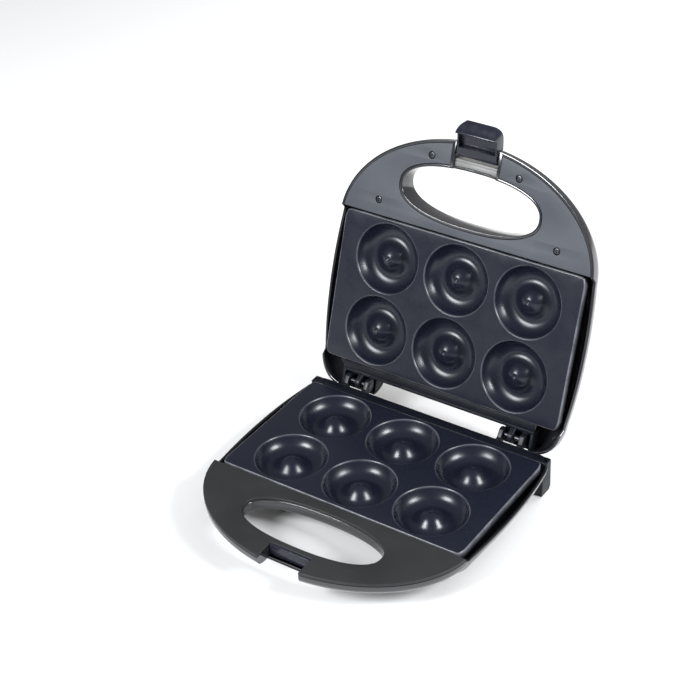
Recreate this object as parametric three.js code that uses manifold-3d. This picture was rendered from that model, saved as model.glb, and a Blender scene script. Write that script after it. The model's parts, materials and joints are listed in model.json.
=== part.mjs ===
// An electric donut maker for six small rings: two hinged half shells, each with a die-cast
// plate of 2 x 3 ring wells, a flat handle cover round a finger hole, and a clip that holds
// the halves shut. It is drawn open and standing on its feet.
//
// Units are millimetres: X to the right, Y from the handle to the hinge, Z up.
// Both halves are drawn in "half" coordinates (x, s, d): s runs from the plate's hinge edge
// towards the handle (y = -s), and d is the depth behind the plate's face.
import * as THREE from 'three';
import Module from 'manifold-3d';
import { mergeVertices } from 'three/addons/utils/BufferGeometryUtils.js';

const wasm = await Module();
wasm.setup();

// ---------------------------------------------------------------- driving dimensions
const GAP = 0.3;                    // clearance between touching pieces
const PLATE_GAP = 0.6;              // between the two plates when the lid is shut
const STANDING_HEIGHT = 30;         // lower plate's face above the table
const LID_OPEN_DEG = 109;           // lid angle from shut
const CLIP_OPEN_DEG = 75;           // clip angle from hooked

const PLATE = { width: 215, length: 124, sheet: 2, skirt: 7, corner: 5 };
const WELL = { pitchX: 63.6, pitchS: 60.6, columns: 3, rows: 2, midS: 62, facets: 16 };
// radius and depth down one side of a well, from its lip to the centre boss
const WELL_PROFILE = [
  [28.6, 0], [27.3, 2.6], [25, 6.6], [21, 9.6], [16.4, 10.5], [12, 9.4], [8, 6.2], [4.6, 2.4],
  [0, 1.2],
];
const CUP_PROFILE = [[30.2, 0], [29.6, 3], [27.2, 7.8], [21.6, 11.8], [0, 11.8]];

const HALF_WIDTH = 113.5;           // where the body meets the handle end
const HANDLE = { centreS: 118, reach: 83, coverS: 125.6, cover: 2.5 };
const HOLE = { halfWidth: 60.6, halfLength: 21.7, centreS: 156.2, power: 2.33 };
const WALL = 2.4;
const SIDE_RIM = 5;                 // the side walls stop this far behind the plate's face
const FRONT_RIM = HANDLE.cover + GAP;
const REAR_RIM = 0.9;

const BODY = { depth: 24, round: 42, frontS: 133.6, rearS: 9.5 };
const GRIP = { depth: 12, round: 8 };
const LID = { depth: 25, gripDepth: 15, round: 22, gripRound: 13, easeFrom: 105, easeTo: 190 };
const LID_EAR_S = 25;               // the lid's rear corners reach this far behind the plate

const HINGE = { s: -15.7, z: 1.4, lug: 5.5, pin: 2, bore: 2.3 };
const LUGS_BASE = [[61, 64.6], [79.4, 83.4]];
const LUG_LID = [69, 73.2];
const HINGE_POCKET = { from: 60.4, to: 86.2, depth: 8.6, s: -9.2 };

const NOTCH = { halfWidth: 19, baseHalfWidth: 18.2, baseS: 185, lidS: 185.6, ledge: 187.9 };
const CLIP = {
  halfWidth: 17.4, cheek: 15.2, corner: 8.5, pivotS: 192, pivotD: 3.2, barrel: 3.2, pin: 1.5, bore: 1.8,
};

const LID_SCREWS = [[79.5, 137.4], [38.4, 183.4]];
const BASE_SCREWS = [[86, 137.4], [48, 180.4]];
const SCREW = { head: 2.7, headHeight: 1.4, shank: 1.3, bore: 1.65, boss: 3.7, length: 8 };

const FRONT_FOOT = { x: 56, s: 115, radius: 7.2, pad: 3 };
const REAR_FOOT = { x: 103.5, s: -2, width: 12, length: 14, pad: 2.2 };
const ELEMENT = { halfWidth: 64, s0: 30, s1: 96, d: 15.6, radius: 3.1, bend: 20 };
const TRAY = { halfWidth: 76, s: [24, 102], d: [19.6, 20.2], bead: 2 };
const SPACER = { x: 31.8, s: 53.5, radius: 2.6 };
const THERMOSTAT = { x: 31.8, s: 67, radius: 6.4, d: [2.3, 10] };
const FUSE = { x: [-39, -24], s: 67, d: 5, radius: 2.1 };
const TERMINALS = { x: [-12, 12], s: [56, 68], d: [12.2, 18.6] };
const GLAND = { x: -38, z: -10.6, radius: 4.4, flange: 5.6, bore: 3 };

const PANEL = { recess: 0.7, sheet: 0.6 };
const INDICATOR = { s: 20, halfWidth: 24, halfLength: 8, lip: 1.5, frame: 1.5 };
const LAMP = { x: 10.5, halfLength: 7, d: 20.3, radius: 1.7 };

// ---------------------------------------------------------------- materials
function material(color, roughness, metalness = 0) {
  return new THREE.MeshStandardMaterial({ color, roughness, metalness });
}
const glossBlack = material(0x101114, 0.18);
const coverGrey = material(0x3f4146, 0.6);
const nonStick = material(0x1d202b, 0.38, 0.3);
const clipBlack = material(0x1b1c22, 0.28);
const steel = material(0xc6c6c8, 0.25, 1);
const darkSteel = material(0x3a3b40, 0.35, 1);
const brushed = material(0xcdc8c9, 0.38, 0.9);
const rubber = material(0x161616, 0.85);
const tinned = material(0xb9bbbd, 0.4, 0.9);
const ceramic = material(0xe9e6dc, 0.5);
const redLens = material(0xb81f33, 0.25);
const greenLens = material(0x1e7a58, 0.25);
const glass = material(0xf2efe6, 0.1);

// ---------------------------------------------------------------- solids from geometries
function signedVolume(position, index) {
  const a = new THREE.Vector3();
  const b = new THREE.Vector3();
  const c = new THREE.Vector3();
  let volume = 0;
  for (let i = 0; i < index.length; i += 3) {
    a.fromBufferAttribute(position, index[i]);
    b.fromBufferAttribute(position, index[i + 1]);
    c.fromBufferAttribute(position, index[i + 2]);
    volume += a.dot(b.cross(c));
  }
  return volume;
}

// a closed geometry becomes a solid: shared vertices merged, slivers dropped, faces out
function toSolid(geometry) {
  const bare = geometry.clone();
  bare.deleteAttribute('normal');
  bare.deleteAttribute('uv');
  const merged = mergeVertices(bare, 1e-4);
  const { position } = merged.attributes;
  const triangles = [];
  for (let i = 0; i < merged.index.count; i += 3) {
    const [p, q, r] = [0, 1, 2].map((k) => merged.index.getX(i + k));
    if (p !== q && q !== r && r !== p) triangles.push(p, q, r);
  }
  if (signedVolume(position, triangles) < 0) triangles.reverse();
  return new wasm.Manifold(new wasm.Mesh({
    numProp: 3,
    vertProperties: Float32Array.from(position.array),
    triVerts: Uint32Array.from(triangles),
  }));
}

function toMesh(name, solid, look) {
  const { vertProperties, triVerts } = solid.getMesh();
  const geometry = new THREE.BufferGeometry();
  geometry.setAttribute('position', new THREE.BufferAttribute(vertProperties, 3));
  geometry.setIndex(new THREE.BufferAttribute(triVerts, 1));
  geometry.computeVertexNormals();
  const mesh = new THREE.Mesh(geometry, look);
  mesh.name = name;
  return mesh;
}

const union = (solids) => solids.reduce((sum, next) => sum.add(next));
const cut = (solid, tools) => tools.reduce((rest, tool) => rest.subtract(tool), solid);
const bothSides = (make) => [make(-1), make(1)];

// side is -1 for the base, whose depth runs down, and +1 for the lid
function block(side, [x0, x1], [s0, s1], [d0, d1]) {
  const geometry = new THREE.BoxGeometry(x1 - x0, s1 - s0, d1 - d0);
  geometry.translate((x0 + x1) / 2, -(s0 + s1) / 2, side * (d0 + d1) / 2);
  return toSolid(geometry);
}

function post(side, x, s, radius, [d0, d1], segments = 20) {
  const geometry = new THREE.CylinderGeometry(radius, radius, d1 - d0, segments);
  geometry.rotateX(Math.PI / 2);
  geometry.translate(x, -s, side * (d0 + d1) / 2);
  return toSolid(geometry);
}

function rodAlongX([x0, x1], s, z, radius, segments = 16) {
  const geometry = new THREE.CylinderGeometry(radius, radius, x1 - x0, segments);
  geometry.rotateZ(Math.PI / 2);
  geometry.translate((x0 + x1) / 2, -s, z);
  return toSolid(geometry);
}

// a flat outline of [x, s] points, given thickness from d0 to d1
function prism(side, outline, [d0, d1]) {
  const shape = new THREE.Shape(outline.map(([x, s]) => new THREE.Vector2(x, -s)));
  const geometry = new THREE.ExtrudeGeometry(shape, { depth: d1 - d0, bevelEnabled: false });
  geometry.translate(0, 0, side > 0 ? d0 : -d1);
  return toSolid(geometry);
}

// a side view of [s, z] points, given width from x0 to x1
function profileAlongX([x0, x1], outline) {
  const shape = new THREE.Shape(outline.map(([s, z]) => new THREE.Vector2(-s, z)));
  const geometry = new THREE.ExtrudeGeometry(shape, { depth: x1 - x0, bevelEnabled: false });
  geometry.rotateY(Math.PI / 2);
  geometry.rotateX(Math.PI / 2);
  geometry.translate(x0, 0, 0);
  return toSolid(geometry);
}

// a front view of [x, z] points, given length from s0 to s1
function profileAlongY(outline, [s0, s1]) {
  const shape = new THREE.Shape(outline.map(([x, z]) => new THREE.Vector2(x, z)));
  const geometry = new THREE.ExtrudeGeometry(shape, { depth: s1 - s0, bevelEnabled: false });
  geometry.rotateX(Math.PI / 2);
  geometry.translate(0, -s0, 0);
  return toSolid(geometry);
}

// closed body through rings of equally many points, each end closed by a fan
function loft(rings) {
  const count = rings[0].length;
  const positions = rings.flat();
  const index = [];
  for (let r = 0; r + 1 < rings.length; r += 1) {
    for (let i = 0; i < count; i += 1) {
      const next = (i + 1) % count;
      const a = r * count + i;
      const b = r * count + next;
      index.push(a, b, b + count, a, b + count, a + count);
    }
  }
  const cap = (ring, first, flip) => {
    const middle = new THREE.Vector3();
    ring.forEach((point) => middle.addScaledVector(point, 1 / count));
    const centre = positions.push(middle) - 1;
    for (let i = 0; i < count; i += 1) {
      const next = (i + 1) % count;
      index.push(centre, first + (flip ? next : i), first + (flip ? i : next));
    }
  };
  cap(rings[0], 0, true);
  cap(rings[rings.length - 1], (rings.length - 1) * count, false);
  const geometry = new THREE.BufferGeometry().setFromPoints(positions);
  geometry.setIndex(index);
  return toSolid(geometry);
}

// ---------------------------------------------------------------- outlines
const smooth = (t) => THREE.MathUtils.smoothstep(t, 0, 1);
const mirrored = (points) => points.map(([x, s]) => [-x, s]).reverse();

function curvePoints(curve, count) {
  return curve.getPoints(count).map((point) => [point.x, point.y]);
}

// right side of the body, from the handle end to the middle of its rear edge
function rightSide(rearS, cornerX) {
  const side = new THREE.CubicBezierCurve(
    new THREE.Vector2(HALF_WIDTH, HANDLE.centreS),
    new THREE.Vector2(117.4, 82),
    new THREE.Vector2(117.4, 40),
    new THREE.Vector2(112, 5),
  );
  const corner = new THREE.QuadraticBezierCurve(
    new THREE.Vector2(112, 5),
    new THREE.Vector2(110.5, -rearS),
    new THREE.Vector2(cornerX, -rearS),
  );
  return [...curvePoints(side, 6), ...curvePoints(corner, 3).slice(1)];
}

// whole plan of a half: handle arc, sides and rear edge
function planOutline(rearS, cornerX) {
  const arc = [];
  for (let degrees = 170; degrees > 0; degrees -= 10) {
    const angle = THREE.MathUtils.degToRad(degrees);
    arc.push([HALF_WIDTH * Math.cos(angle), HANDLE.centreS + HANDLE.reach * Math.sin(angle)]);
  }
  const right = rightSide(rearS, cornerX);
  return [...arc, ...right, ...mirrored(right)];
}

// plan of the deep part of the base, which ends at the finger hole
function bodyOutline() {
  const front = new THREE.QuadraticBezierCurve(
    new THREE.Vector2(94, BODY.frontS),
    new THREE.Vector2(HALF_WIDTH, BODY.frontS),
    new THREE.Vector2(HALF_WIDTH, HANDLE.centreS),
  );
  const right = [...curvePoints(front, 3).slice(0, -1), ...rightSide(BODY.rearS, 98)];
  return [...right, ...mirrored(right)];
}

function holeOutline(grow = 0, count = 32) {
  const points = [];
  for (let i = 0; i < count; i += 1) {
    const angle = (2 * Math.PI * i) / count;
    const bend = (value) => Math.sign(value) * Math.abs(value) ** (2 / HOLE.power);
    points.push([
      (HOLE.halfWidth + grow) * bend(Math.cos(angle)),
      HOLE.centreS + (HOLE.halfLength + grow) * bend(Math.sin(angle)),
    ]);
  }
  return points;
}

function rectangle([x0, x1], [s0, s1], corner) {
  const points = [];
  const corners = [[x1, s1, 0], [x0, s1, 90], [x0, s0, 180], [x1, s0, 270]];
  corners.forEach(([x, s, start]) => {
    const cx = x + (x === x1 ? -corner : corner);
    const cs = s + (s === s1 ? -corner : corner);
    for (let step = 0; step <= 3; step += 1) {
      const angle = THREE.MathUtils.degToRad(start + step * 30);
      points.push([cx + corner * Math.cos(angle), cs + corner * Math.sin(angle)]);
    }
  });
  return points;
}

const centred = (middle, width) => [middle - width / 2, middle + width / 2];
const signed = (sign, [near, far]) => (sign > 0 ? [near, far] : [-far, -near]);

// ---------------------------------------------------------------- half shells
// a bowl whose wall drops straight from its rim, turns over an elliptic shoulder and
// ends in a gently domed bottom; shrink moves the whole surface inwards by the wall
function bowl(side, outline, { rim, depthAt, roundAt, centreS, domed }, shrink) {
  const inwards = (x, s, distance) => {
    const reach = Math.hypot(x, s - centreS);
    const k = 1 - distance / reach;
    return [x * k, centreS + (s - centreS) * k];
  };
  const ring = (inset, drop) => outline.map(([x, s]) => {
    const [px, ps] = inwards(x, s, shrink + inset(s));
    const depth = rim + (depthAt(ps) - shrink - rim) * drop;
    return new THREE.Vector3(px, -ps, side * depth);
  });
  const rings = [outline.map(([x, s]) => {
    const [px, ps] = inwards(x, s, shrink);
    return new THREE.Vector3(px, -ps, side * (shrink ? -1 : 0));
  })];
  const steps = 4;
  for (let step = 0; step <= steps; step += 1) {
    const angle = (step / steps) * (Math.PI / 2);
    rings.push(ring((s) => roundAt(s) * (1 - Math.cos(angle)), Math.sin(angle)));
  }
  const shoulder = rings[rings.length - 1];
  for (const k of domed ? [0.78, 0.56, 0.34] : []) {
    rings.push(shoulder.map((point) => {
      const s = centreS + (-point.y - centreS) * k;
      return new THREE.Vector3(point.x * k, -s, side * (depthAt(s) - shrink));
    }));
  }
  return loft(rings);
}

const constant = (value) => () => value;

function baseBowls(shrink) {
  const body = {
    rim: SIDE_RIM, depthAt: constant(BODY.depth), centreS: 62,
    roundAt: (s) => THREE.MathUtils.lerp(BODY.round, 24, smooth((s - 90) / 40)),
  };
  const grip = {
    rim: 4, depthAt: constant(GRIP.depth), centreS: 88,
    roundAt: constant(GRIP.round),
  };
  return union([
    bowl(-1, bodyOutline(), body, shrink),
    bowl(-1, planOutline(BODY.rearS, 98), grip, shrink),
  ]);
}

function lidBowl(shrink) {
  const ease = (s) => smooth((s - LID.easeFrom) / (LID.easeTo - LID.easeFrom));
  const form = {
    rim: SIDE_RIM,
    centreS: 88,
    domed: true,
    depthAt: (s) => THREE.MathUtils.lerp(LID.depth, LID.gripDepth, ease(s)),
    roundAt: (s) => THREE.MathUtils.lerp(LID.round, LID.gripRound, ease(s)),
  };
  return bowl(1, planOutline(LID_EAR_S, 84), form, shrink);
}

function screwBosses(side, places, depth) {
  return places.flatMap(([x, s]) => bothSides((sign) => (
    post(side, sign * x, s, SCREW.boss, [FRONT_RIM, depth], 12))));
}

function screwBores(side, places, depth) {
  return places.flatMap(([x, s]) => bothSides((sign) => (
    post(side, sign * x, s, SCREW.bore, [-1, depth], 8))));
}

function baseShell() {
  const outer = baseBowls(0);
  const notchX = [-NOTCH.baseHalfWidth, NOTCH.baseHalfWidth];
  const inside = [
    prism(-1, holeOutline(WALL), [FRONT_RIM, 40]),
    block(-1, centred(0, 2 * NOTCH.baseHalfWidth + 2 * WALL), [NOTCH.baseS - WALL, 200],
      [FRONT_RIM, 40]),
    ...screwBosses(-1, BASE_SCREWS, GRIP.depth),
  ];
  const outside = bothSides((sign) => union([
    block(-1, centred(sign * REAR_FOOT.x, REAR_FOOT.width),
      centred(REAR_FOOT.s, REAR_FOOT.length), [REAR_RIM, STANDING_HEIGHT - REAR_FOOT.pad]),
    post(-1, sign * FRONT_FOOT.x, FRONT_FOOT.s, FRONT_FOOT.radius + 1.2,
      [BODY.depth - 2, STANDING_HEIGHT - FRONT_FOOT.pad], 16),
    ...LUGS_BASE.flatMap((range) => [
      rodAlongX(signed(sign, range), HINGE.s, HINGE.z, HINGE.lug),
      block(-1, signed(sign, range), [HINGE.s, -8], [-1, 4]),
      block(-1, signed(sign, range), [-12, -7], [1.6, 9]),
    ]),
  ]));
  const hollow = baseBowls(WALL).subtract(union(inside));
  const shell = cut(union([outer.subtract(hollow), ...outside]), [
    block(-1, centred(0, PLATE.width + 2 * GAP), [-GAP, PLATE.length], [-1, PLATE.skirt + GAP]),
    block(-1, [-130, 130], [-2.5, HANDLE.coverS - 1.2], [-1, SIDE_RIM]),
    block(-1, [-130, 130], [HANDLE.coverS - 1.2, 210], [-1, FRONT_RIM]),
    block(-1, [-60, 60], [-40, -2.4], [-1, REAR_RIM]),
    ...bothSides((sign) => block(-1, signed(sign, [84, 120]), [-40, -2.4], [-1, REAR_RIM])),
    prism(-1, holeOutline(), [-1, 40]),
    block(-1, notchX, [NOTCH.baseS, 210], [-1, GRIP.depth - WALL]),
    block(-1, notchX, [NOTCH.ledge, 210], [-1, GRIP.depth + 1]),
    ...screwBores(-1, BASE_SCREWS, GRIP.depth + 1),
    ...BASE_SCREWS.flatMap(([x, s]) => bothSides((sign) => (
      post(-1, sign * x, s, SCREW.head + GAP, [GRIP.depth - SCREW.headHeight - GAP, 20], 12)))),
    ...bothSides((sign) => rodAlongX(signed(sign, [60, 90]), HINGE.s, HINGE.z, HINGE.bore)),
    ...bothSides((sign) => (
      post(-1, sign * FRONT_FOOT.x, FRONT_FOOT.s, 2.6, [STANDING_HEIGHT - 8, 40], 12))),
    ...bothSides((sign) => (
      post(-1, sign * REAR_FOOT.x, REAR_FOOT.s, 2.6, [STANDING_HEIGHT - 8, 40], 12))),
    rodAlongY(GLAND.x, [-12, 0], GLAND.z, GLAND.radius + GAP),
  ]);
  const notchLip = block(-1, centred(0, 2 * (NOTCH.baseHalfWidth - GAP)),
    [NOTCH.baseS - WALL + GAP, NOTCH.baseS], [GAP, GRIP.depth - WALL]);
  return union([shell, rearFlange(-1, 98, -8.5), notchLip]);
}

// shelf that closes the space between the rear wall and the plate
function rearFlange(side, halfWidth, rearS) {
  return block(side, [-halfWidth, halfWidth], [rearS, -2 * GAP], [REAR_RIM, 4]);
}

function lidShell() {
  // the rear edge steps in for the see-through gap and for the two hinge pockets
  const recess = (grow) => [
    block(1, centred(0, 2 * (HINGE_POCKET.from + grow)), [-40, HINGE_POCKET.s + grow], [-9, 40]),
    ...bothSides((sign) => block(1, signed(sign, [HINGE_POCKET.from - 1, HINGE_POCKET.to + grow]),
      [-40, HINGE_POCKET.s + grow], [-9, HINGE_POCKET.depth + grow])),
  ];
  const outer = cut(lidBowl(0), recess(0));
  const inside = [
    prism(1, holeOutline(WALL), [0, 40]),
    block(1, centred(0, 2 * NOTCH.halfWidth + 3 * WALL), [NOTCH.lidS - WALL, 205], [0, 40]),
    ...screwBosses(1, LID_SCREWS, 24),
    ...recess(WALL),
  ];
  const lugs = bothSides((sign) => union([
    rodAlongX(signed(sign, LUG_LID), HINGE.s, HINGE.z - PLATE_GAP, HINGE.lug),
    block(1, signed(sign, LUG_LID), [HINGE.s, -8], [HINGE.z - PLATE_GAP, 9.6]),
  ]));
  const window = stadium(INDICATOR.halfWidth - INDICATOR.lip + GAP,
    INDICATOR.halfLength - INDICATOR.lip + GAP);
  const notchX = [-NOTCH.halfWidth, NOTCH.halfWidth];
  const shell = cut(union([outer.subtract(lidBowl(WALL).subtract(union(inside))), ...lugs]), [
    block(1, [-130, 130], [-2.5, HANDLE.coverS - 1.2], [-1, SIDE_RIM]),
    block(1, [-130, 130], [HANDLE.coverS - 1.2, 210], [-1, GAP]),
    coverPlan(1, WALL, HOLE.centreS, [-1, FRONT_RIM]),
    block(1, notchX, [HOLE.centreS, NOTCH.lidS], [-1, FRONT_RIM]),
    block(1, [-60, 60], [-40, -2.4], [-1, REAR_RIM]),
    ...bothSides((sign) => block(1, signed(sign, [59, 87]), [-10, -2.4], [-1, REAR_RIM])),
    ...bothSides((sign) => block(1, signed(sign, [86, 120]), [-40, -2.4], [-1, REAR_RIM])),
    prism(1, holeOutline(), [-1, 40]),
    block(1, notchX, [NOTCH.lidS, 210], [-1, 40]),
    ...screwBores(1, LID_SCREWS, 11),
    rodAlongX([-21, 21], CLIP.pivotS, CLIP.pivotD, CLIP.bore, 12),
    ...bothSides((sign) => (
      rodAlongX(signed(sign, [60, 90]), HINGE.s, HINGE.z - PLATE_GAP, HINGE.bore))),
    prism(1, panelOutline(GAP), [LID.depth - PANEL.recess, 40]),
    prism(1, window, [15, 40]),
  ]);
  return shell.add(rearFlange(1, HINGE_POCKET.to + 2, HINGE_POCKET.s + 0.2));
}

// ---------------------------------------------------------------- handle covers
// the flat face of a handle, drawn in by inset from the outer edge, the finger hole and
// the notch for the clip
function coverPlan(side, inset, notchS, range) {
  const across = HALF_WIDTH - inset;
  const reach = HANDLE.reach - inset;
  const first = Math.asin((HANDLE.coverS - HANDLE.centreS) / reach);
  const outline = [];
  const steps = 24;
  for (let step = 0; step <= steps; step += 1) {
    const angle = THREE.MathUtils.lerp(first, Math.PI - first, step / steps);
    outline.push([across * Math.cos(angle), HANDLE.centreS + reach * Math.sin(angle)]);
  }
  const halfWidth = side < 0 ? NOTCH.baseHalfWidth : NOTCH.halfWidth + inset;
  return cut(prism(side, outline, range), [
    prism(side, holeOutline(inset), [-2, 5]),
    block(side, [-halfWidth, halfWidth], [notchS, 210], [-2, 5]),
  ]);
}

function baseHandleCover() {
  const bores = BASE_SCREWS.flatMap(([x, s]) => bothSides((sign) => (
    post(-1, sign * x, s, SCREW.bore, [0.8, 5], 12))));
  return cut(coverPlan(-1, 0, NOTCH.baseS - WALL, [0, HANDLE.cover]), bores);
}

function lidHandleCover() {
  const bores = LID_SCREWS.flatMap(([x, s]) => bothSides((sign) => (
    post(1, sign * x, s, SCREW.head + GAP, [-1, SCREW.headHeight + 2 * GAP], 12))));
  return cut(coverPlan(1, WALL + GAP, HOLE.centreS, [0, HANDLE.cover]), [
    ...bores, ...screwBores(1, LID_SCREWS, 5),
  ]);
}

function screw(side, x, s, headDepth, towards) {
  const [head, shank] = towards > 0
    ? [[headDepth, headDepth + SCREW.headHeight], [headDepth, headDepth + SCREW.length]]
    : [[headDepth - SCREW.headHeight, headDepth], [headDepth - SCREW.length, headDepth]];
  return post(side, x, s, SCREW.head, head, 12).add(post(side, x, s, SCREW.shank, shank, 8));
}

// ---------------------------------------------------------------- plates
function lathed(side, x, s, profile, segments) {
  const points = profile.map(([radius, depth]) => new THREE.Vector2(radius, side * depth));
  const geometry = new THREE.LatheGeometry(points, segments);
  geometry.rotateX(Math.PI / 2);
  geometry.translate(x, -s, 0);
  return toSolid(geometry);
}

function wellCentres() {
  const centres = [];
  for (let row = 0; row < WELL.rows; row += 1) {
    for (let column = 0; column < WELL.columns; column += 1) {
      centres.push([
        (column - (WELL.columns - 1) / 2) * WELL.pitchX,
        WELL.midS + (row - (WELL.rows - 1) / 2) * WELL.pitchS,
      ]);
    }
  }
  return centres;
}

function donutPlate(side) {
  const edge = (inset, range) => prism(side, rectangle(
    centred(0, PLATE.width - 2 * inset),
    [inset, PLATE.length - inset],
    PLATE.corner - inset,
  ), range);
  const pan = edge(0, [0, PLATE.skirt]).subtract(edge(PLATE.sheet, [PLATE.sheet, 20]));
  const cups = wellCentres().map(([x, s]) => lathed(side, x, s, [[0, 0], ...CUP_PROFILE], WELL.facets));
  const wells = wellCentres().map(([x, s]) => (
    lathed(side, x, s, [[0, -1], [WELL_PROFILE[0][0], -1], ...WELL_PROFILE], WELL.facets)));
  return cut(union([pan, ...cups]), wells);
}

// ---------------------------------------------------------------- inner works
function heatingElement(side) {
  const { halfWidth, s0, s1, bend, d } = ELEMENT;
  const corner = (x, s) => new THREE.Vector3(x, -s, side * d);
  const path = new THREE.CurvePath();
  const stops = [
    [-14, s0], [-halfWidth, s0], [-halfWidth, s1], [halfWidth, s1], [halfWidth, s0], [14, s0],
  ].map(([x, s]) => corner(x, s));
  let from = stops[0];
  for (let i = 1; i + 1 < stops.length; i += 1) {
    const before = stops[i].clone().lerp(stops[i - 1], bend / stops[i].distanceTo(stops[i - 1]));
    const after = stops[i].clone().lerp(stops[i + 1], bend / stops[i].distanceTo(stops[i + 1]));
    path.add(new THREE.LineCurve3(from, before));
    path.add(new THREE.QuadraticBezierCurve3(before, stops[i], after));
    from = after;
  }
  path.add(new THREE.LineCurve3(from, stops[stops.length - 1]));
  const section = new THREE.Shape();
  section.absarc(0, 0, ELEMENT.radius, 0, 2 * Math.PI);
  return toSolid(new THREE.ExtrudeGeometry(section, {
    steps: 36, curveSegments: 4, extrudePath: path, bevelEnabled: false,
  }));
}

function reflectorTray(side) {
  const { halfWidth, s, d, bead } = TRAY;
  const sheet = prism(side, rectangle([-halfWidth, halfWidth], s, 8), d);
  const edge = prism(side, rectangle([-halfWidth, halfWidth], s, 8), [d[0] - bead, d[1]]);
  const inside = prism(side, rectangle([1 - halfWidth, halfWidth - 1], [s[0] + 1, s[1] - 1], 7),
    [0, d[0]]);
  return sheet.add(edge.subtract(inside));
}

function rodAlongY(x, [s0, s1], z, radius, segments = 16) {
  const geometry = new THREE.CylinderGeometry(radius, radius, s1 - s0, segments);
  geometry.translate(x, -(s0 + s1) / 2, z);
  return toSolid(geometry);
}

function terminalBlock() {
  const screws = [-7.5, 0, 7.5].map((x) => post(-1, x, 62, 2, [TERMINALS.d[0] - 1, 14.4], 12));
  return cut(block(-1, TERMINALS.x, TERMINALS.s, TERMINALS.d), screws);
}

function cordGland() {
  const { x, z, radius, flange, bore } = GLAND;
  return rodAlongY(x, [-11, -3.6], z, radius)
    .add(rodAlongY(x, [-12.4, -BODY.rearS - GAP], z, flange))
    .subtract(rodAlongY(x, [-20, 0], z, bore));
}

// ---------------------------------------------------------------- lid top
function panelOutline(grow) {
  const curve = new THREE.Shape();
  const half = new THREE.Path();
  const [back, front, backX, frontX, corner] = [10, 106, 78, 90, 12];
  half.moveTo(0, back - 6);
  half.quadraticCurveTo(backX * 0.55, back - 5, backX - corner, back);
  half.quadraticCurveTo(backX, back + 2, backX + 2, back + corner);
  half.lineTo(frontX, front - corner);
  half.quadraticCurveTo(frontX + 1, front + 1, frontX - corner, front - 1);
  half.quadraticCurveTo(frontX * 0.5, front - 9, 0, front - 9);
  curve.curves = half.curves;
  const points = curve.getPoints(5).map((point) => [point.x, point.y]);
  const left = points.slice(1, -1).map(([x, s]) => [-x, s]).reverse();
  return [...points, ...left].map(([x, s]) => {
    const reach = Math.hypot(x, s - 58);
    return [x * (1 + grow / reach), 58 + (s - 58) * (1 + grow / reach)];
  });
}

function stadium(halfWidth, halfLength, side = 0) {
  const points = [];
  for (let degrees = -90; degrees <= 90; degrees += 15) {
    const angle = THREE.MathUtils.degToRad(degrees);
    points.push([
      halfWidth - halfLength + halfLength * Math.cos(angle),
      INDICATOR.s + halfLength * Math.sin(angle),
    ]);
  }
  if (side > 0) return [...points, [GAP, INDICATOR.s + halfLength], [GAP, INDICATOR.s - halfLength]];
  if (side < 0) return mirrored(stadium(halfWidth, halfLength, 1));
  return [...points, ...mirrored(points)];
}

function indicatorBezel() {
  const { halfWidth, halfLength, lip, frame } = INDICATOR;
  const flange = prism(1, stadium(halfWidth, halfLength), [LID.depth + GAP + 0.2, LID.depth + 1.3]);
  const barrel = prism(1, stadium(halfWidth - lip, halfLength - lip), [22, LID.depth + 1]);
  const opening = stadium(halfWidth - lip - frame, halfLength - lip - frame);
  return flange.add(barrel).subtract(prism(1, opening, [15, 40]));
}

function indicatorLens(sign) {
  const { halfWidth, halfLength, lip, frame } = INDICATOR;
  const inset = lip + frame + GAP;
  return prism(1, stadium(halfWidth - inset, halfLength - inset, sign), [22.6, LID.depth + 1.6]);
}

function steelPanel() {
  const floor = LID.depth - PANEL.recess + GAP;
  const window = stadium(INDICATOR.halfWidth - INDICATOR.lip + GAP,
    INDICATOR.halfLength - INDICATOR.lip + GAP);
  return prism(1, panelOutline(0), [floor, floor + PANEL.sheet]).subtract(prism(1, window, [15, 40]));
}

// ---------------------------------------------------------------- clip
// side view of the hooked clip as [s, d] from its pivot; the ridge at the inside is the hook
const CLIP_SIDE = [
  [-3.4, 1.5], [-1.5, 3.6], [1.5, 4], [4.5, 3.2], [6.4, 1], [7, -3], [7, -13], [6.2, -19],
  [4.2, -23.7], [2, -25.8], [0.4, -26], [-1.2, -24.8], [-3, -22.4], [-5, -19.8], [-6.4, -18.4],
  [-6.8, -17.6], [-6.4, -16.8], [-3.5, -16.4], [-3.3, -4], [-3.6, 0],
];
const CLIP_RECESS = { s: [-10, 2.5], d: [-15.4, -4.4] };

function clipFront() {
  const { halfWidth, corner } = CLIP;
  const tip = CLIP_SIDE.reduce((lowest, [, d]) => Math.min(lowest, d), 0);
  const right = [[halfWidth, 5]];
  for (let degrees = 0; degrees <= 90; degrees += 15) {
    const angle = THREE.MathUtils.degToRad(-degrees);
    right.push([
      halfWidth - corner + corner * Math.cos(angle),
      tip + corner + corner * Math.sin(angle),
    ]);
  }
  return [...right, ...mirrored(right)];
}

function latchClip() {
  const width = [-CLIP.halfWidth, CLIP.halfWidth];
  return profileAlongX(width, CLIP_SIDE)
    .add(rodAlongX(width, 0, 0, CLIP.barrel))
    .intersect(profileAlongY(clipFront(), [-20, 20]))
    .subtract(block(1, [-CLIP.cheek, CLIP.cheek], CLIP_RECESS.s, CLIP_RECESS.d))
    .subtract(rodAlongX([-30, 30], 0, 0, CLIP.bore, 16));
}

// ---------------------------------------------------------------- assembly
const maker = new THREE.Group();
const base = new THREE.Group();
const lidPivot = new THREE.Group();
const lid = new THREE.Group();
const clip = new THREE.Group();
const sideName = (sign) => (sign < 0 ? 'left' : 'right');

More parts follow.
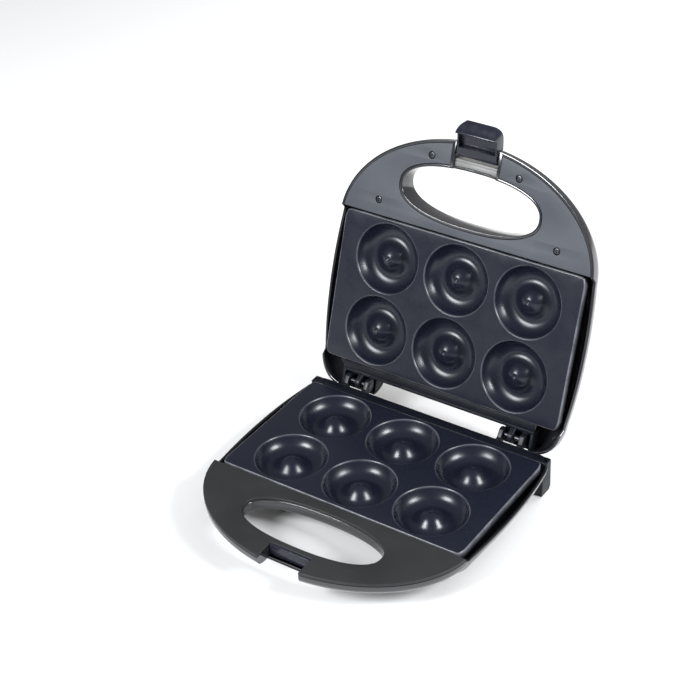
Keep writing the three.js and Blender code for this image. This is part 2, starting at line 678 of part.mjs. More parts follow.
base.add(toMesh('base_shell', baseShell(), glossBlack));
base.add(toMesh('base_handle_cover', baseHandleCover(), coverGrey));
base.add(toMesh('lower_donut_plate', donutPlate(-1), nonStick));
base.add(toMesh('lower_heating_element', heatingElement(-1), steel));
base.add(toMesh('lower_reflector_tray', reflectorTray(-1), tinned));
base.add(toMesh('thermal_fuse', rodAlongX(FUSE.x, FUSE.s, -FUSE.d, FUSE.radius, 12), ceramic));
base.add(toMesh('terminal_block', terminalBlock(), ceramic));
base.add(toMesh('cord_gland', cordGland(), rubber));
BASE_SCREWS.forEach(([x, s], index) => bothSides((sign) => {
  const name = `base_cover_screw_${sideName(sign)}_${index + 1}`;
  base.add(toMesh(name, screw(-1, sign * x, s, GRIP.depth - 0.2, -1), darkSteel));
}));

lid.add(toMesh('lid_shell', lidShell(), glossBlack));
lid.add(toMesh('lid_handle_cover', lidHandleCover(), coverGrey));
lid.add(toMesh('upper_donut_plate', donutPlate(1), nonStick));
lid.add(toMesh('upper_heating_element', heatingElement(1), steel));
lid.add(toMesh('upper_reflector_tray', reflectorTray(1), tinned));
lid.add(toMesh('thermostat', post(1, THERMOSTAT.x, THERMOSTAT.s, THERMOSTAT.radius,
  THERMOSTAT.d), ceramic));
lid.add(toMesh('steel_top_panel', steelPanel(), brushed));
lid.add(toMesh('indicator_bezel', indicatorBezel(), glossBlack));
lid.add(toMesh('red_power_lens', indicatorLens(-1), redLens));
lid.add(toMesh('green_ready_lens', indicatorLens(1), greenLens));
lid.add(toMesh('clip_pin', rodAlongX([-20.7, 20.7], CLIP.pivotS, CLIP.pivotD, CLIP.pin, 12),
  darkSteel));
LID_SCREWS.forEach(([x, s], index) => bothSides((sign) => {
  const name = `lid_cover_screw_${sideName(sign)}_${index + 1}`;
  lid.add(toMesh(name, screw(1, sign * x, s, GAP, 1), darkSteel));
}));

bothSides((sign) => {
  const end = sideName(sign);
  const footTop = STANDING_HEIGHT - FRONT_FOOT.pad + GAP;
  const { x, s, radius } = FRONT_FOOT;
  base.add(toMesh(`front_foot_${end}`, post(-1, sign * x, s, radius, [footTop, STANDING_HEIGHT])
    .add(post(-1, sign * x, s, 2.2, [footTop - 4, footTop + 1], 12)), rubber));
  const rearTop = STANDING_HEIGHT - REAR_FOOT.pad + GAP;
  base.add(toMesh(`rear_foot_${end}`, block(-1, centred(sign * REAR_FOOT.x, REAR_FOOT.width - 1),
    centred(REAR_FOOT.s, REAR_FOOT.length - 1), [rearTop, STANDING_HEIGHT])
    .add(post(-1, sign * REAR_FOOT.x, REAR_FOOT.s, 2.2, [rearTop - 4, rearTop + 1], 12)), rubber));
  base.add(toMesh(`hinge_pin_${end}`, rodAlongX(signed(sign, [60.6, 83.8]), HINGE.s, HINGE.z,
    HINGE.pin, 16), darkSteel));
  const lampX = centred(sign * LAMP.x, 2 * LAMP.halfLength);
  lid.add(toMesh(sign < 0 ? 'red_lamp' : 'green_lamp',
    rodAlongX(lampX, INDICATOR.s, LAMP.d, LAMP.radius, 12), glass));
  for (const [group, half, level] of [[base, -1, 'lower'], [lid, 1, 'upper']]) {
    const range = [PLATE.sheet + GAP, TRAY.d[0] - GAP];
    group.add(toMesh(`${level}_plate_spacer_${end}`,
      post(half, sign * SPACER.x, SPACER.s, SPACER.radius, range, 12), steel));
  }
});

clip.add(toMesh('latch_clip', latchClip(), clipBlack));
clip.position.set(0, -CLIP.pivotS, CLIP.pivotD);
clip.rotation.x = THREE.MathUtils.degToRad(-CLIP_OPEN_DEG);
lid.add(clip);

lid.position.set(0, HINGE.s, PLATE_GAP - HINGE.z);
lidPivot.position.set(0, -HINGE.s, HINGE.z);
lidPivot.rotation.x = THREE.MathUtils.degToRad(-LID_OPEN_DEG);
lidPivot.add(lid);

maker.add(base, lidPivot);
maker.position.z = STANDING_HEIGHT;
const bounds = new THREE.Box3().setFromObject(maker, true);
maker.position.y = -(bounds.min.y + bounds.max.y) / 2;

export default maker;
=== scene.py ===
"""Looks for the open donut maker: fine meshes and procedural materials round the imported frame.

Shapes are worked out in the CAD's half coordinates, in millimetres: x to the right, s from the
plate's hinge edge towards the handle, d behind the plate's face. The matrices in HALVES turn
them into the row frame, in metres.
"""
import json
import math

import bmesh
import bpy
from mathutils import Matrix, Vector


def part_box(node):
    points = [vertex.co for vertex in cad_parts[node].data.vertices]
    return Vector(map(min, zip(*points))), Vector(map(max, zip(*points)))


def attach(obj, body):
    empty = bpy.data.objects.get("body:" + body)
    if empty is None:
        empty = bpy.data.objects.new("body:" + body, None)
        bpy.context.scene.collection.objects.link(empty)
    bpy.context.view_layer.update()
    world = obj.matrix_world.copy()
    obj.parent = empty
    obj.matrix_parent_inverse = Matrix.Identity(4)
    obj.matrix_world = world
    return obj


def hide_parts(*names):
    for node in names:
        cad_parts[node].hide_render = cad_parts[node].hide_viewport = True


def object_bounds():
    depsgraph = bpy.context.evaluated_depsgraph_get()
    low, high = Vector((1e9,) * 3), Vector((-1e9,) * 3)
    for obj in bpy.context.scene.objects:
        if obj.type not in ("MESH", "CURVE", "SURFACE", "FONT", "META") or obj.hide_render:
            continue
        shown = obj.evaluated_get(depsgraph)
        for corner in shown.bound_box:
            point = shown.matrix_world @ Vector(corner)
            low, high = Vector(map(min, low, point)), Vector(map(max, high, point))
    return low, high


MM = 0.001
SIDES = ((-1, "left"), (1, "right"))

# gap between the shut plates, the lid's opening angle, and the hinge axis as (s, height)
PLATE_GAP = 0.6
LID_OPEN = 109
HINGE = (-15.7, 1.4)

# donut plates; FLAT is the face inside the rounded edge
PLATE_WIDTH, PLATE_LENGTH, PLATE_CORNER, PLATE_SKIRT, PLATE_EDGE = 215, 124, 5, 7, 0.9
FLAT_X, FLAT_CORNER = PLATE_WIDTH / 2 - PLATE_EDGE, PLATE_CORNER - PLATE_EDGE
FLAT_NEAR, FLAT_FAR = PLATE_EDGE, PLATE_LENGTH - PLATE_EDGE
WELL_PITCH_X, WELL_PITCH_S, WELL_MID_S = 63.6, 60.6, 62
WELL_LIP, WELL_RAYS = 28.7, 96
# radius and depth from the lip of a well to the dimple on its centre boss
WELL_PROFILE = [
    (29.5, 0), (29.1, 0.05), (28.7, 0.3), (28.3, 0.8), (27.9, 1.7), (27.2, 3.2), (26.2, 5.0),
    (24.8, 6.9), (22.9, 8.6), (20.4, 9.9), (18.0, 10.5), (15.6, 10.4), (13.3, 9.6), (11.2, 8.0),
    (9.6, 6.2), (8.0, 4.6), (6.4, 3.3), (4.7, 2.3), (3.2, 1.6), (2.1, 1.3), (1.6, 1.4), (0.9, 1.9),
]

# plan shared by the two halves
HALF_WIDTH, SIDE_X, SIDE_REAR = 113.5, 117.4, (112, 5)
HANDLE_S, HANDLE_REACH, COVER_S, COVER, COVER_INSET = 118, 82.9, 125.6, 2.5, 2.7
HOLE_X, HOLE_S, HOLE_MID_S, HOLE_POWER, HOLE_POINTS = 60.6, 21.7, 156.2, 2.33, 96

# wall of the shells, and how far the parts of their rims stop behind the plate's face
WALL, SIDE_RIM, FRONT_RIM, REAR_RIM, FLUSH_RIM = 2.4, 5, 2.8, 0.9, 0.3

# base: its bowl, its grip, the notch for the clip, lugs, screws and feet
BODY_DEPTH, BODY_ROUND, BODY_FRONT_ROUND = 24, 42, 24
BODY_FRONT_X, BODY_FRONT_S, BODY_REAR_X, BODY_REAR_S = 94, 133.6, 98, 9.5
GRIP_DEPTH, GRIP_ROUND = 12, 8
BASE_NOTCH_X, BASE_NOTCH_S, BASE_NOTCH_D, LEDGE_S = 18.2, 185, 9.6, 187.9
BASE_LUGS_X = ((61, 64.6), (79.4, 83.4))
BASE_SCREWS = [(86, 137.4), (48, 180.4)]
FRONT_FOOT_X, FRONT_FOOT_S = 56, 115
REAR_PAD_X, REAR_POST_X, GROUND_D = (98, 109), (97.5, 109.5), 30

# lid: its bowl, which gets shallower over the taper, the notch, hinge pockets, lug and screws
LID_DEPTH, LID_GRIP_DEPTH, LID_ROUND, LID_GRIP_ROUND = 25, 15, 22, 13
LID_TAPER_S, LID_TAPER, LID_REAR_X, LID_REAR_S = 105, 85, 84, 25
LID_NOTCH_X, LID_NOTCH_S = 19, 185.6
POCKET_FROM, POCKET_TO, POCKET_DEPTH, POCKET_S = 60.4, 86.2, 8.6, -9.2
LID_LUG_X = (69, 73.2)
LID_SCREWS = [(79.5, 137.4), (38.4, 183.4)]
INDICATOR_S, PANEL_MID_S = 20, 58

# eye of a hinge lug, then the clip: its pivot, half width, cheeks, length, corner and open angle
LUG_EYE = 5.5
CLIP_S, CLIP_D, CLIP_X, CLIP_CHEEK = 192, 3.2, 17.4, 16.2
CLIP_LENGTH, CLIP_CORNER, CLIP_OPEN = 26, 8.5, 75

# ends of the cutting tools: depths through a whole half, and s values past the handle and rear
THROUGH, PAST_HANDLE, PAST_REAR = (-1, 40), 210, -40

# camera: azimuth, elevation and roll in degrees, distance and shift in millimetres, focal length
CAMERA_TURN = (35.32, 34.38, -2.79)
CAMERA_BACK, CAMERA_LEFT, CAMERA_UP, CAMERA_LENS = 1402.4, 58.575, 55.746, 90.9
COOL = (0.94, 0.97, 1)

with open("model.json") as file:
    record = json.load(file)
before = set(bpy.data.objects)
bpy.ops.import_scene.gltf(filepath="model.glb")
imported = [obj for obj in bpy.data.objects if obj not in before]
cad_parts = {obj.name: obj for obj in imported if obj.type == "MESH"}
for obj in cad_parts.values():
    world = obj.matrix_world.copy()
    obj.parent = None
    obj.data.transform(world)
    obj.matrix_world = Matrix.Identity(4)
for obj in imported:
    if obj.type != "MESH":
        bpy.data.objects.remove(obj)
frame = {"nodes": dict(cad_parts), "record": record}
cad_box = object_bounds()
PLATE_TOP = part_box("lower_donut_plate")[1]


# ---------------------------------------------------------------- places
def base_matrix():
    """Base half to row frame: y = -s, z = -d, in metres."""
    return Matrix.Translation((0, PLATE_TOP.y, PLATE_TOP.z)) @ Matrix.Diagonal((MM, -MM, -MM, 1))


def lid_matrix():
    """Lid half to row frame, with the lid turned open about the hinge."""
    s, z = HINGE
    pivot = Matrix.Translation((0, PLATE_TOP.y - s * MM, PLATE_TOP.z + z * MM))
    turn = Matrix.Rotation(math.radians(-LID_OPEN), 4, "X")
    back = Matrix.Translation((0, s * MM, (PLATE_GAP - z) * MM))
    return pivot @ turn @ back @ Matrix.Diagonal((MM, -MM, MM, 1))


def clip_matrix():
    """Clip's own coordinates, from its pivot, with the clip turned open on the open lid."""
    pivot = Matrix.Translation((0, CLIP_S, CLIP_D))
    turn = Matrix.Rotation(math.radians(CLIP_OPEN), 4, "X")
    return lid_matrix() @ pivot @ turn


HALVES = {"base": base_matrix(), "lid": lid_matrix(), "clip": clip_matrix()}


def across(sign, near, far):
    """Limits in x, from low to high, of what lies between near and far on one side."""
    return sorted((sign * near, sign * far))


def finish_piece(obj, body, look, stands_for=()):
    """Keeps a placed piece inside the CAD box, gives it its look and body, and hides the CAD parts
    it stands for.
    """
    for vertex in obj.data.vertices:
        vertex.co = [min(max(c, low), high) for c, low, high in zip(vertex.co, *cad_box)]
    obj.data.materials.clear()
    obj.data.materials.append(LOOKS[look])
    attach(obj, body)
    if stands_for:
        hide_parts(*stands_for)


def mesh_object(name, vertices, faces, half, angle):
    """Mesh of [x, s, d] vertices placed in the row frame, with faces turned outwards."""
    mesh = bpy.data.meshes.new(name)
    mesh.from_pydata([HALVES[half] @ Vector(v) for v in vertices], [], faces)
    return clean(bpy_object(name, mesh), angle)


def bpy_object(name, mesh):
    obj = bpy.data.objects.new(name, mesh)
    bpy.context.scene.collection.objects.link(obj)
    return obj


def shade(obj, angle=35):
    """Shades smooth except over edges sharper than the angle."""
    obj.data.shade_smooth()
    obj.data.set_sharp_from_angle(angle=math.radians(angle))
    return obj


def clean(obj, angle=35):
    """Joins doubled vertices, turns faces out and shades the result."""
    bm = bmesh.new()
    bm.from_mesh(obj.data)
    bmesh.ops.remove_doubles(bm, verts=bm.verts, dist=2e-6)
    bmesh.ops.recalc_face_normals(bm, faces=bm.faces)
    bm.to_mesh(obj.data)
    bm.free()
    return shade(obj, angle)


def apply_modifiers(obj):
    graph = bpy.context.evaluated_depsgraph_get()
    mesh = bpy.data.meshes.new_from_object(obj.evaluated_get(graph))
    obj.modifiers.clear()
    obj.data = mesh
    return obj


def boolean(obj, tools, operation="DIFFERENCE"):
    """Cuts the tools from obj, or keeps what is in both, and removes the tools."""
    for tool in tools:
        modifier = obj.modifiers.new("cut", "BOOLEAN")
        modifier.object = tool
        modifier.operation = operation
        modifier.solver = "EXACT"
    bpy.context.view_layer.update()
    apply_modifiers(obj)
    for tool in tools:
        bpy.data.objects.remove(tool)
    return obj


def even_normals(obj):
    """Lets the wide faces steer the shading, so that flat parts stay flat beside a cut."""
    modifier = clean(obj).modifiers.new("normals", "WEIGHTED_NORMAL")
    modifier.keep_sharp = True
    return apply_modifiers(obj)


def rounded(obj, width, segments=3, angle=30):
    """Bevels every edge sharper than the angle."""
    modifier = obj.modifiers.new("round", "BEVEL")
    modifier.width = width * MM
    modifier.segments = segments
    modifier.limit_method = "ANGLE"
    modifier.angle_limit = math.radians(angle)
    bpy.context.view_layer.update()
    return clean(apply_modifiers(obj))


# ---------------------------------------------------------------- simple solids
def loft(name, rings, half, angle=35, capped=True):
    """Body through rings of equally many points, each end closed by one face."""
    count = len(rings[0])
    vertices = [v for ring in rings for v in ring]
    faces = []
    for start in range(0, (len(rings) - 1) * count, count):
        for i in range(count):
            a, b = start + i, start + (i + 1) % count
            faces.append((a, b, b + count, a + count))
    if capped:
        faces.append(tuple(range(count - 1, -1, -1)))
        faces.append(tuple(range(len(vertices) - count, len(vertices))))
    return mesh_object(name, vertices, faces, half, angle)


def prism(name, outline, depths, half):
    """Prism over an outline of (x, s) points, from one depth to another."""
    return loft(name, [[(x, s, d) for x, s in outline] for d in depths], half)


def along_x(name, xs, outline, half, angle=35):
    """Prism over a side view of (s, d) points."""
    return loft(name, [[(x, s, d) for s, d in outline] for x in xs], half, angle)


def along_s(name, ss, outline, half):
    """Prism over a front view of (x, d) points."""
    return loft(name, [[(x, s, d) for x, d in outline] for s in ss], half)


def block(name, xs, ss, ds, half, edge=0):
    """Box between limits in x, s and d, with rounded edges if edge is given."""
    (x0, x1), (s0, s1) = xs, ss
    obj = prism(name, [(x0, s0), (x1, s0), (x1, s1), (x0, s1)], ds, half)
    return rounded(obj, edge) if edge else obj


def circle(x, s, radius, count=32):
    return [
        (x + radius * math.cos(2 * math.pi * i / count),
         s + radius * math.sin(2 * math.pi * i / count))
        for i in range(count)
    ]


def joined(name, pieces):
    """One object from several pieces that touch or overlap."""
    bm = bmesh.new()
    for piece in pieces:
        bm.from_mesh(piece.data)
        bpy.data.objects.remove(piece)
    mesh = bpy.data.meshes.new(name)
    bm.to_mesh(mesh)
    bm.free()
    return shade(bpy_object(name, mesh))


def plate_from_curves(name, loops, depths, edge, half):
    """Flat sheet over closed (x, s) loops, the later ones being holes, with rounded edges."""
    curve = bpy.data.curves.new(name, "CURVE")
    curve.dimensions = "2D"
    curve.fill_mode = "BOTH"
    for loop in loops:
        spline = curve.splines.new("POLY")
        spline.points.add(len(loop) - 1)
        for point, (x, s) in zip(spline.points, loop):
            point.co = (x, s, 0, 1)
        spline.use_cyclic_u = True
    thick = abs(depths[1] - depths[0]) / 2
    curve.extrude = thick - edge
    curve.bevel_depth = edge
    curve.bevel_resolution = 3
    curve.offset = -edge
    source = bpy_object(name + "_curve", curve)
    bpy.context.view_layer.update()
    graph = bpy.context.evaluated_depsgraph_get()
    mesh = bpy.data.meshes.new_from_object(source.evaluated_get(graph))
    middle = (depths[0] + depths[1]) / 2
    mesh.transform(HALVES[half] @ Matrix.Translation((0, 0, middle)))
    bpy.data.objects.remove(source)
    return clean(bpy_object(name, mesh), 40)


# ---------------------------------------------------------------- outlines
def smooth(t):
    t = min(1, max(0, t))
    return t * t * (3 - 2 * t)


def mix(a, b, t):
    return a + (b - a) * t


def mirrored(points):
    return [(-x, s) for x, s in reversed(points)]


def bezier(points, count):
    """Points on a Bezier curve of any order."""
    result = []
    for i in range(count + 1):
        layer = [Vector(p) for p in points]
        while len(layer) > 1:
            layer = [a.lerp(b, i / count) for a, b in zip(layer, layer[1:])]
        result.append((layer[0].x, layer[0].y))
    return result


def right_side(rear_s, corner_x):
    """Right side of the plan, from the handle to the end of its rear corner."""
    side = bezier([(HALF_WIDTH, HANDLE_S), (SIDE_X, 82), (SIDE_X, 40), SIDE_REAR], 24)
    corner = bezier([SIDE_REAR, (110.5, -rear_s), (corner_x, -rear_s)], 14)
    return side + corner[1:]


def handle_arc():
    """Round front of the plan, from left to right."""
    points = []
    for k in range(71, 0, -1):
        a = math.radians(2.5 * k)
        points.append((HALF_WIDTH * math.cos(a), HANDLE_S + HANDLE_REACH * math.sin(a)))
    return points


def plan_outline(rear_s, corner_x):
    """Plan of one half, with a straight rear edge between its corners."""
    right = right_side(rear_s, corner_x)
    rear = [(corner_x * k, -rear_s) for k in (0.75, 0.5, 0.25, 0)]
    return handle_arc() + right + rear + mirrored(right + rear[:-1])


def base_plan():
    return plan_outline(BODY_REAR_S, BODY_REAR_X)


def lid_plan():
    return plan_outline(LID_REAR_S, LID_REAR_X)


def body_outline():
    """Plan of the base's bowl, which stops in front of the finger hole."""
    front = bezier([(BODY_FRONT_X, BODY_FRONT_S), (HALF_WIDTH, BODY_FRONT_S),
                    (HALF_WIDTH, HANDLE_S)], 10)
    right = front[:-1] + right_side(BODY_REAR_S, BODY_REAR_X)
    top = [(BODY_FRONT_X * k, BODY_FRONT_S) for k in (0, 0.33, 0.66)]
    rear = [(BODY_REAR_X * k, -BODY_REAR_S) for k in (0.66, 0.33)]
    return top + right + rear + [(0, -BODY_REAR_S)] + mirrored(top[1:] + right + rear)


def hole_outline(grow=0):
    """Finger hole, a rounded oblong, made larger by grow."""
    points = []
    bend = 2 / HOLE_POWER
    for i in range(HOLE_POINTS):
        a = 2 * math.pi * i / HOLE_POINTS
        c, s = math.cos(a), math.sin(a)
        points.append((
            (HOLE_X + grow) * math.copysign(abs(c) ** bend, c),
            HOLE_MID_S + (HOLE_S + grow) * math.copysign(abs(s) ** bend, s),
        ))
    return points


def lid_depth(s):
    return mix(LID_DEPTH, LID_GRIP_DEPTH, smooth((s - LID_TAPER_S) / LID_TAPER))


def lid_round(s):
    return mix(LID_ROUND, LID_GRIP_ROUND, smooth((s - LID_TAPER_S) / LID_TAPER))


# ---------------------------------------------------------------- shells
def base_rim(s):
    """How far the base's rim stops behind the plate's face."""
    if s > COVER_S - 1.2:
        return FRONT_RIM
    return SIDE_RIM if s > -2.5 else REAR_RIM


def lid_rim(s):
    return FLUSH_RIM if s > COVER_S - 1.2 else base_rim(s)


# a form holds the s its outline shrinks towards and, for each s of the outline, its depth, the
# radius of its shoulder, its rim and how far it draws in
GRIP_FORM = {
    "centre": 88,
    "depth": lambda s: GRIP_DEPTH,
    "round": lambda s: GRIP_ROUND,
    "rim": lambda s: base_rim(s) if s > 0 else SIDE_RIM + 1,
    "tuck": lambda s: 0.6 * (1 - smooth((s - 112) / 10)),
}
BODY_FORM = {
    "centre": 62,
    "depth": lambda s: BODY_DEPTH,
    "round": lambda s: mix(BODY_ROUND, BODY_FRONT_ROUND, smooth((s - 90) / 40)),
    "rim": lambda s: SIDE_RIM if s > -2.5 else REAR_RIM,
    "tuck": lambda s: 0,
}
LID_FORM = {
    "centre": 88,
    "depth": lid_depth,
    "round": lid_round,
    "rim": lid_rim,
    "tuck": lambda s: 0,
}


def inwards(form, x, s, distance):
    """A point of the outline moved towards the form's centre."""
    k = 1 - (distance + form["tuck"](s)) / math.hypot(x, s - form["centre"])
    return x * k, form["centre"] + (s - form["centre"]) * k


def bowl_rings(outline, form, shrink):
    """Rings of the outer face moved in by shrink: straight side, round shoulder, domed floor."""
    depth_at, centre = form["depth"], form["centre"]
    rings = []
    steps = 10
    start = SIDE_RIM + 0.9
    for i in range(steps + 1):
        a = math.pi / 2 * i / steps
        ring = []
        for x, s in outline:
            px, ps = inwards(form, x, s, shrink + (1 - math.cos(a)) * form["round"](s))
            ring.append((px, ps, start + (depth_at(ps) - shrink - start) * math.sin(a)))
        rings.append(ring)
    shoulder = rings[-1]
    for k in (0.9, 0.78, 0.64, 0.48, 0.32, 0.16, 0.03):
        ring = []
        for x, s, _ in shoulder:
            ps = centre + (s - centre) * k
            ring.append((x * k, ps, depth_at(ps) - shrink))
        rings.append(ring)
    return rings


def shell(name, outline, half, form):
    """Bowl of one wall thickness, lofted from the inner floor over a rounded rim to the outside."""
    edge = 0.7

    def lip(distance, down):
        return [(*inwards(form, x, s, distance), form["rim"](s) + down) for x, s in outline]

    lips = [
        lip(WALL, edge), lip(WALL - 0.2, edge * 0.3), lip(WALL - edge, 0),
        lip(edge, 0), lip(0.2, edge * 0.3), lip(0, edge),
    ]
    inner = bowl_rings(outline, form, WALL)[::-1]
    return loft(name, inner + lips + bowl_rings(outline, form, 0), half, 50)


def kept_inside(pieces, outline, form, half):
    """Cuts each piece back to the middle of the shell's wall."""
    shrink = WALL / 2
    top = [(*inwards(form, x, s, shrink), -1) for x, s in outline]
    for piece in pieces:
        core = loft("core", [top] + bowl_rings(outline, form, shrink), half)
        boolean(piece, [core], "INTERSECT")
        clean(piece)


def hole_tube(name, half, floor_at, top):
    """Wall round the finger hole, flared into the shell's outer face."""
    def ring(grow, depth):
        return [(x, s, depth(s)) for x, s in hole_outline(grow)]

    rings = [
        ring(WALL, lambda s: top + 0.3),
        ring(WALL - 0.3, lambda s: top),
        ring(0.45, lambda s: top),
        ring(0.12, lambda s: top + 0.14),
        ring(0, lambda s: top + 0.45),
        ring(0, lambda s: floor_at(s) - 1.6),
        ring(0.12, lambda s: floor_at(s) - 1.0),
        ring(0.5, lambda s: floor_at(s) - 0.45),
        ring(1.1, lambda s: floor_at(s) - 0.1),
        ring(1.8, lambda s: floor_at(s) + 0.05),
        ring(WALL, lambda s: floor_at(s) + 0.05),
        ring(WALL, lambda s: floor_at(s) - 2),
        ring(WALL, lambda s: top + 0.3),
    ]
    return loft(name, rings, half, 50, capped=False)


def base_grip():
    """Shallow shell over the whole plan, cut open where the bowl stands in it."""
    grip = shell("base_grip", base_plan(), "base", GRIP_FORM)
    notch_x = (-BASE_NOTCH_X, BASE_NOTCH_X)
    body_inside = [inwards(BODY_FORM, x, s, 2) for x, s in body_outline()]
    screw_holes = [prism("cut_screw", circle(sign * x, s, 3, 24), (10.2, 20), "base")
                   for x, s in BASE_SCREWS for sign in (-1, 1)]
    return boolean(grip, [
        prism("cut_body", body_inside, THROUGH, "base"),
        prism("cut_hole", hole_outline(1.2), THROUGH, "base"),
        block("cut_notch", notch_x, (BASE_NOTCH_S, PAST_HANDLE), (-1, BASE_NOTCH_D), "base"),
        block("cut_ledge", notch_x, (LEDGE_S, PAST_HANDLE), (-1, 20), "base"),
        *screw_holes,
    ])


def base_body():
    return shell("base_bowl", body_outline(), "base", BODY_FORM)


def base_notch_sides():
    """Side walls of the notch that the clip hooks into."""
    sides = [
        block("side", across(sign, BASE_NOTCH_X + 0.05, BASE_NOTCH_X + WALL),
              (BASE_NOTCH_S - WALL, 202), (FRONT_RIM, 30), "base")
        for sign in (-1, 1)
    ]
    kept_inside(sides, base_plan(), GRIP_FORM, "base")
    return joined("base_notch_sides", sides)


def lid_body():
    """Lid's bowl, cut for the finger hole, notch, rear gap, hinge pockets and top panel."""
    body = shell("lid_body", lid_plan(), "lid", LID_FORM)
    notch_x, gap_x = (-LID_NOTCH_X, LID_NOTCH_X), (-POCKET_FROM, POCKET_FROM)
    tools = [
        prism("cut_hole", hole_outline(1.2), THROUGH, "lid"),
        block("cut_notch", notch_x, (LID_NOTCH_S, PAST_HANDLE), THROUGH, "lid"),
        block("cut_gap", gap_x, (PAST_REAR, POCKET_S), (-9, 40), "lid"),
        prism("cut_panel", panel_outline(0.3), (LID_DEPTH - 1.5, 40), "lid"),
    ]
    for sign in (-1, 1):
        tools.append(block("cut_pocket", across(sign, POCKET_FROM - 1, POCKET_TO),
                           (PAST_REAR, POCKET_S), (-9, POCKET_DEPTH), "lid"))
    return boolean(body, tools)


def lid_bridge():
    """Bar between the finger hole and the notch, with two grooves along its face."""
    ends = (HOLE_MID_S + HOLE_S + 0.05, LID_NOTCH_S - 0.05)
    bar = block("lid_bridge", (-LID_NOTCH_X, LID_NOTCH_X), ends, (FRONT_RIM, 30), "lid")
    kept_inside([bar], lid_plan(), LID_FORM, "lid")
    grooves = [
        block("groove", (-30, 30), (ends[0] + k, ends[0] + k + 0.5), (0, FRONT_RIM + 0.5), "lid")
        for k in (2.2, 5.4)
    ]
    return rounded(boolean(bar, grooves), 0.3, 2, 50)


def lid_notch_sides():
    """Side walls of the notch that the clip swings in."""
    pieces = [
        block("side", across(sign, LID_NOTCH_X + 0.05, LID_NOTCH_X + WALL),
              (HOLE_MID_S + HOLE_S - 0.6, 203), (FLUSH_RIM, 30), "lid")
        for sign in (-1, 1)
    ]
    kept_inside(pieces, lid_plan(), LID_FORM, "lid")
    return rounded(joined("lid_notch_sides", pieces), 0.35, 2, 50)


def lid_rear_frame():
    """Walls of the gap and of the two hinge pockets, and the shelf behind the plate."""
    inner, outer = POCKET_S + WALL, POCKET_TO + WALL
    step, ceiling = POCKET_FROM + WALL, POCKET_DEPTH + WALL
    boxes = [
        ((-step, step), (POCKET_S, inner), (REAR_RIM, 30)),
        ((-outer, outer), (inner, -0.6), (REAR_RIM, 4)),
    ]
    for sign in (-1, 1):
        boxes += [
            (across(sign, step, outer), (POCKET_S, inner), (REAR_RIM, ceiling)),
            (across(sign, step, POCKET_TO), (-30, POCKET_S), (POCKET_DEPTH, ceiling)),
            (across(sign, POCKET_TO, outer), (-30, POCKET_S), (REAR_RIM, ceiling)),
            (across(sign, POCKET_FROM, step), (-30, POCKET_S), (POCKET_DEPTH, 30)),
        ]
    pieces = [block("rear", *box, "lid", 0.3) for box in boxes]
    kept_inside(pieces, lid_plan(), LID_FORM, "lid")
    return joined("lid_rear_frame", pieces)


# ---------------------------------------------------------------- covers
def cover_arc(inset):
    """Handle cover's arc from left to right, down to its straight edge."""
    across, reach = HALF_WIDTH - inset, HANDLE_REACH - inset
    first = math.asin((COVER_S - HANDLE_S) / reach)
    points = []
    steps = 96
    for i in range(steps + 1):
        a = mix(math.pi - first, first, i / steps)
        points.append((across * math.cos(a), HANDLE_S + reach * math.sin(a)))
    return points


def arc_s(x, inset):
    """Where the cover's arc crosses x."""
    return HANDLE_S + (HANDLE_REACH - inset) * math.sqrt(1 - (x / (HALF_WIDTH - inset)) ** 2)


def base_cover():
    """Handle cover with the finger hole and the notch left open."""
    left = [p for p in cover_arc(0) if p[0] < -BASE_NOTCH_X]
    outer_s, inner_s = arc_s(BASE_NOTCH_X, 0), BASE_NOTCH_S - WALL
    notch = [(-BASE_NOTCH_X, outer_s), (-BASE_NOTCH_X, inner_s),
             (BASE_NOTCH_X, inner_s), (BASE_NOTCH_X, outer_s)]
    outline = left + notch + mirrored(left)
    return plate_from_curves(
        "base_cover", [outline, hole_outline()], (0, COVER), 0.55, "base")


def lid_cover():
    """Handle cover round the finger hole, open at the notch, with screw holes."""
    half = LID_NOTCH_X + COVER_INSET
    left = [p for p in cover_arc(COVER_INSET) if p[0] < -half]
    hole = hole_outline(COVER_INSET)
    ends = [p for p in hole if p[1] > HOLE_MID_S and abs(p[0]) < half]
    inner = sorted(
        (math.atan2(s - HOLE_MID_S, x) % (2 * math.pi), x, s)
        for x, s in hole if (x, s) not in ends
    )
    turned = [(x, s) for a, x, s in inner if a > math.pi / 2]
    turned += [(x, s) for a, x, s in inner if a <= math.pi / 2]
    hole_s = min(s for _, s in ends)
    outer_s = arc_s(half, COVER_INSET)
    outline = [*left, (-half, outer_s), (-half, hole_s), *turned]
    outline += [(half, hole_s), (half, outer_s), *mirrored(left)]
    holes = [circle(sign * x, s, 3) for x, s in LID_SCREWS for sign in (-1, 1)]
    return plate_from_curves("lid_cover", [outline, *holes], (0, COVER), 0.4, "lid")


def cover_screw(name, x, s, face, inwards_sign, half):
    """Round-headed screw with a cross recess in its face."""
    outline = [(1.6, 0), (2.2, 0.1), (2.55, 0.35), (2.7, 0.7), (2.7, 1.4), (1.3, 1.4), (1.3, 8)]
    rings = [
        [(px, ps, face + inwards_sign * depth) for px, ps in circle(x, s, radius)]
        for radius, depth in outline
    ]
    screw = loft(name, rings, half, 40)
    depths = sorted((face - inwards_sign, face + inwards_sign * 0.9))
    arms = [block("arm", (x - a, x + a), (s - b, s + b), depths, half)
            for a, b in ((1.5, 0.36), (0.36, 1.5))]
    return clean(boolean(screw, arms), 40)


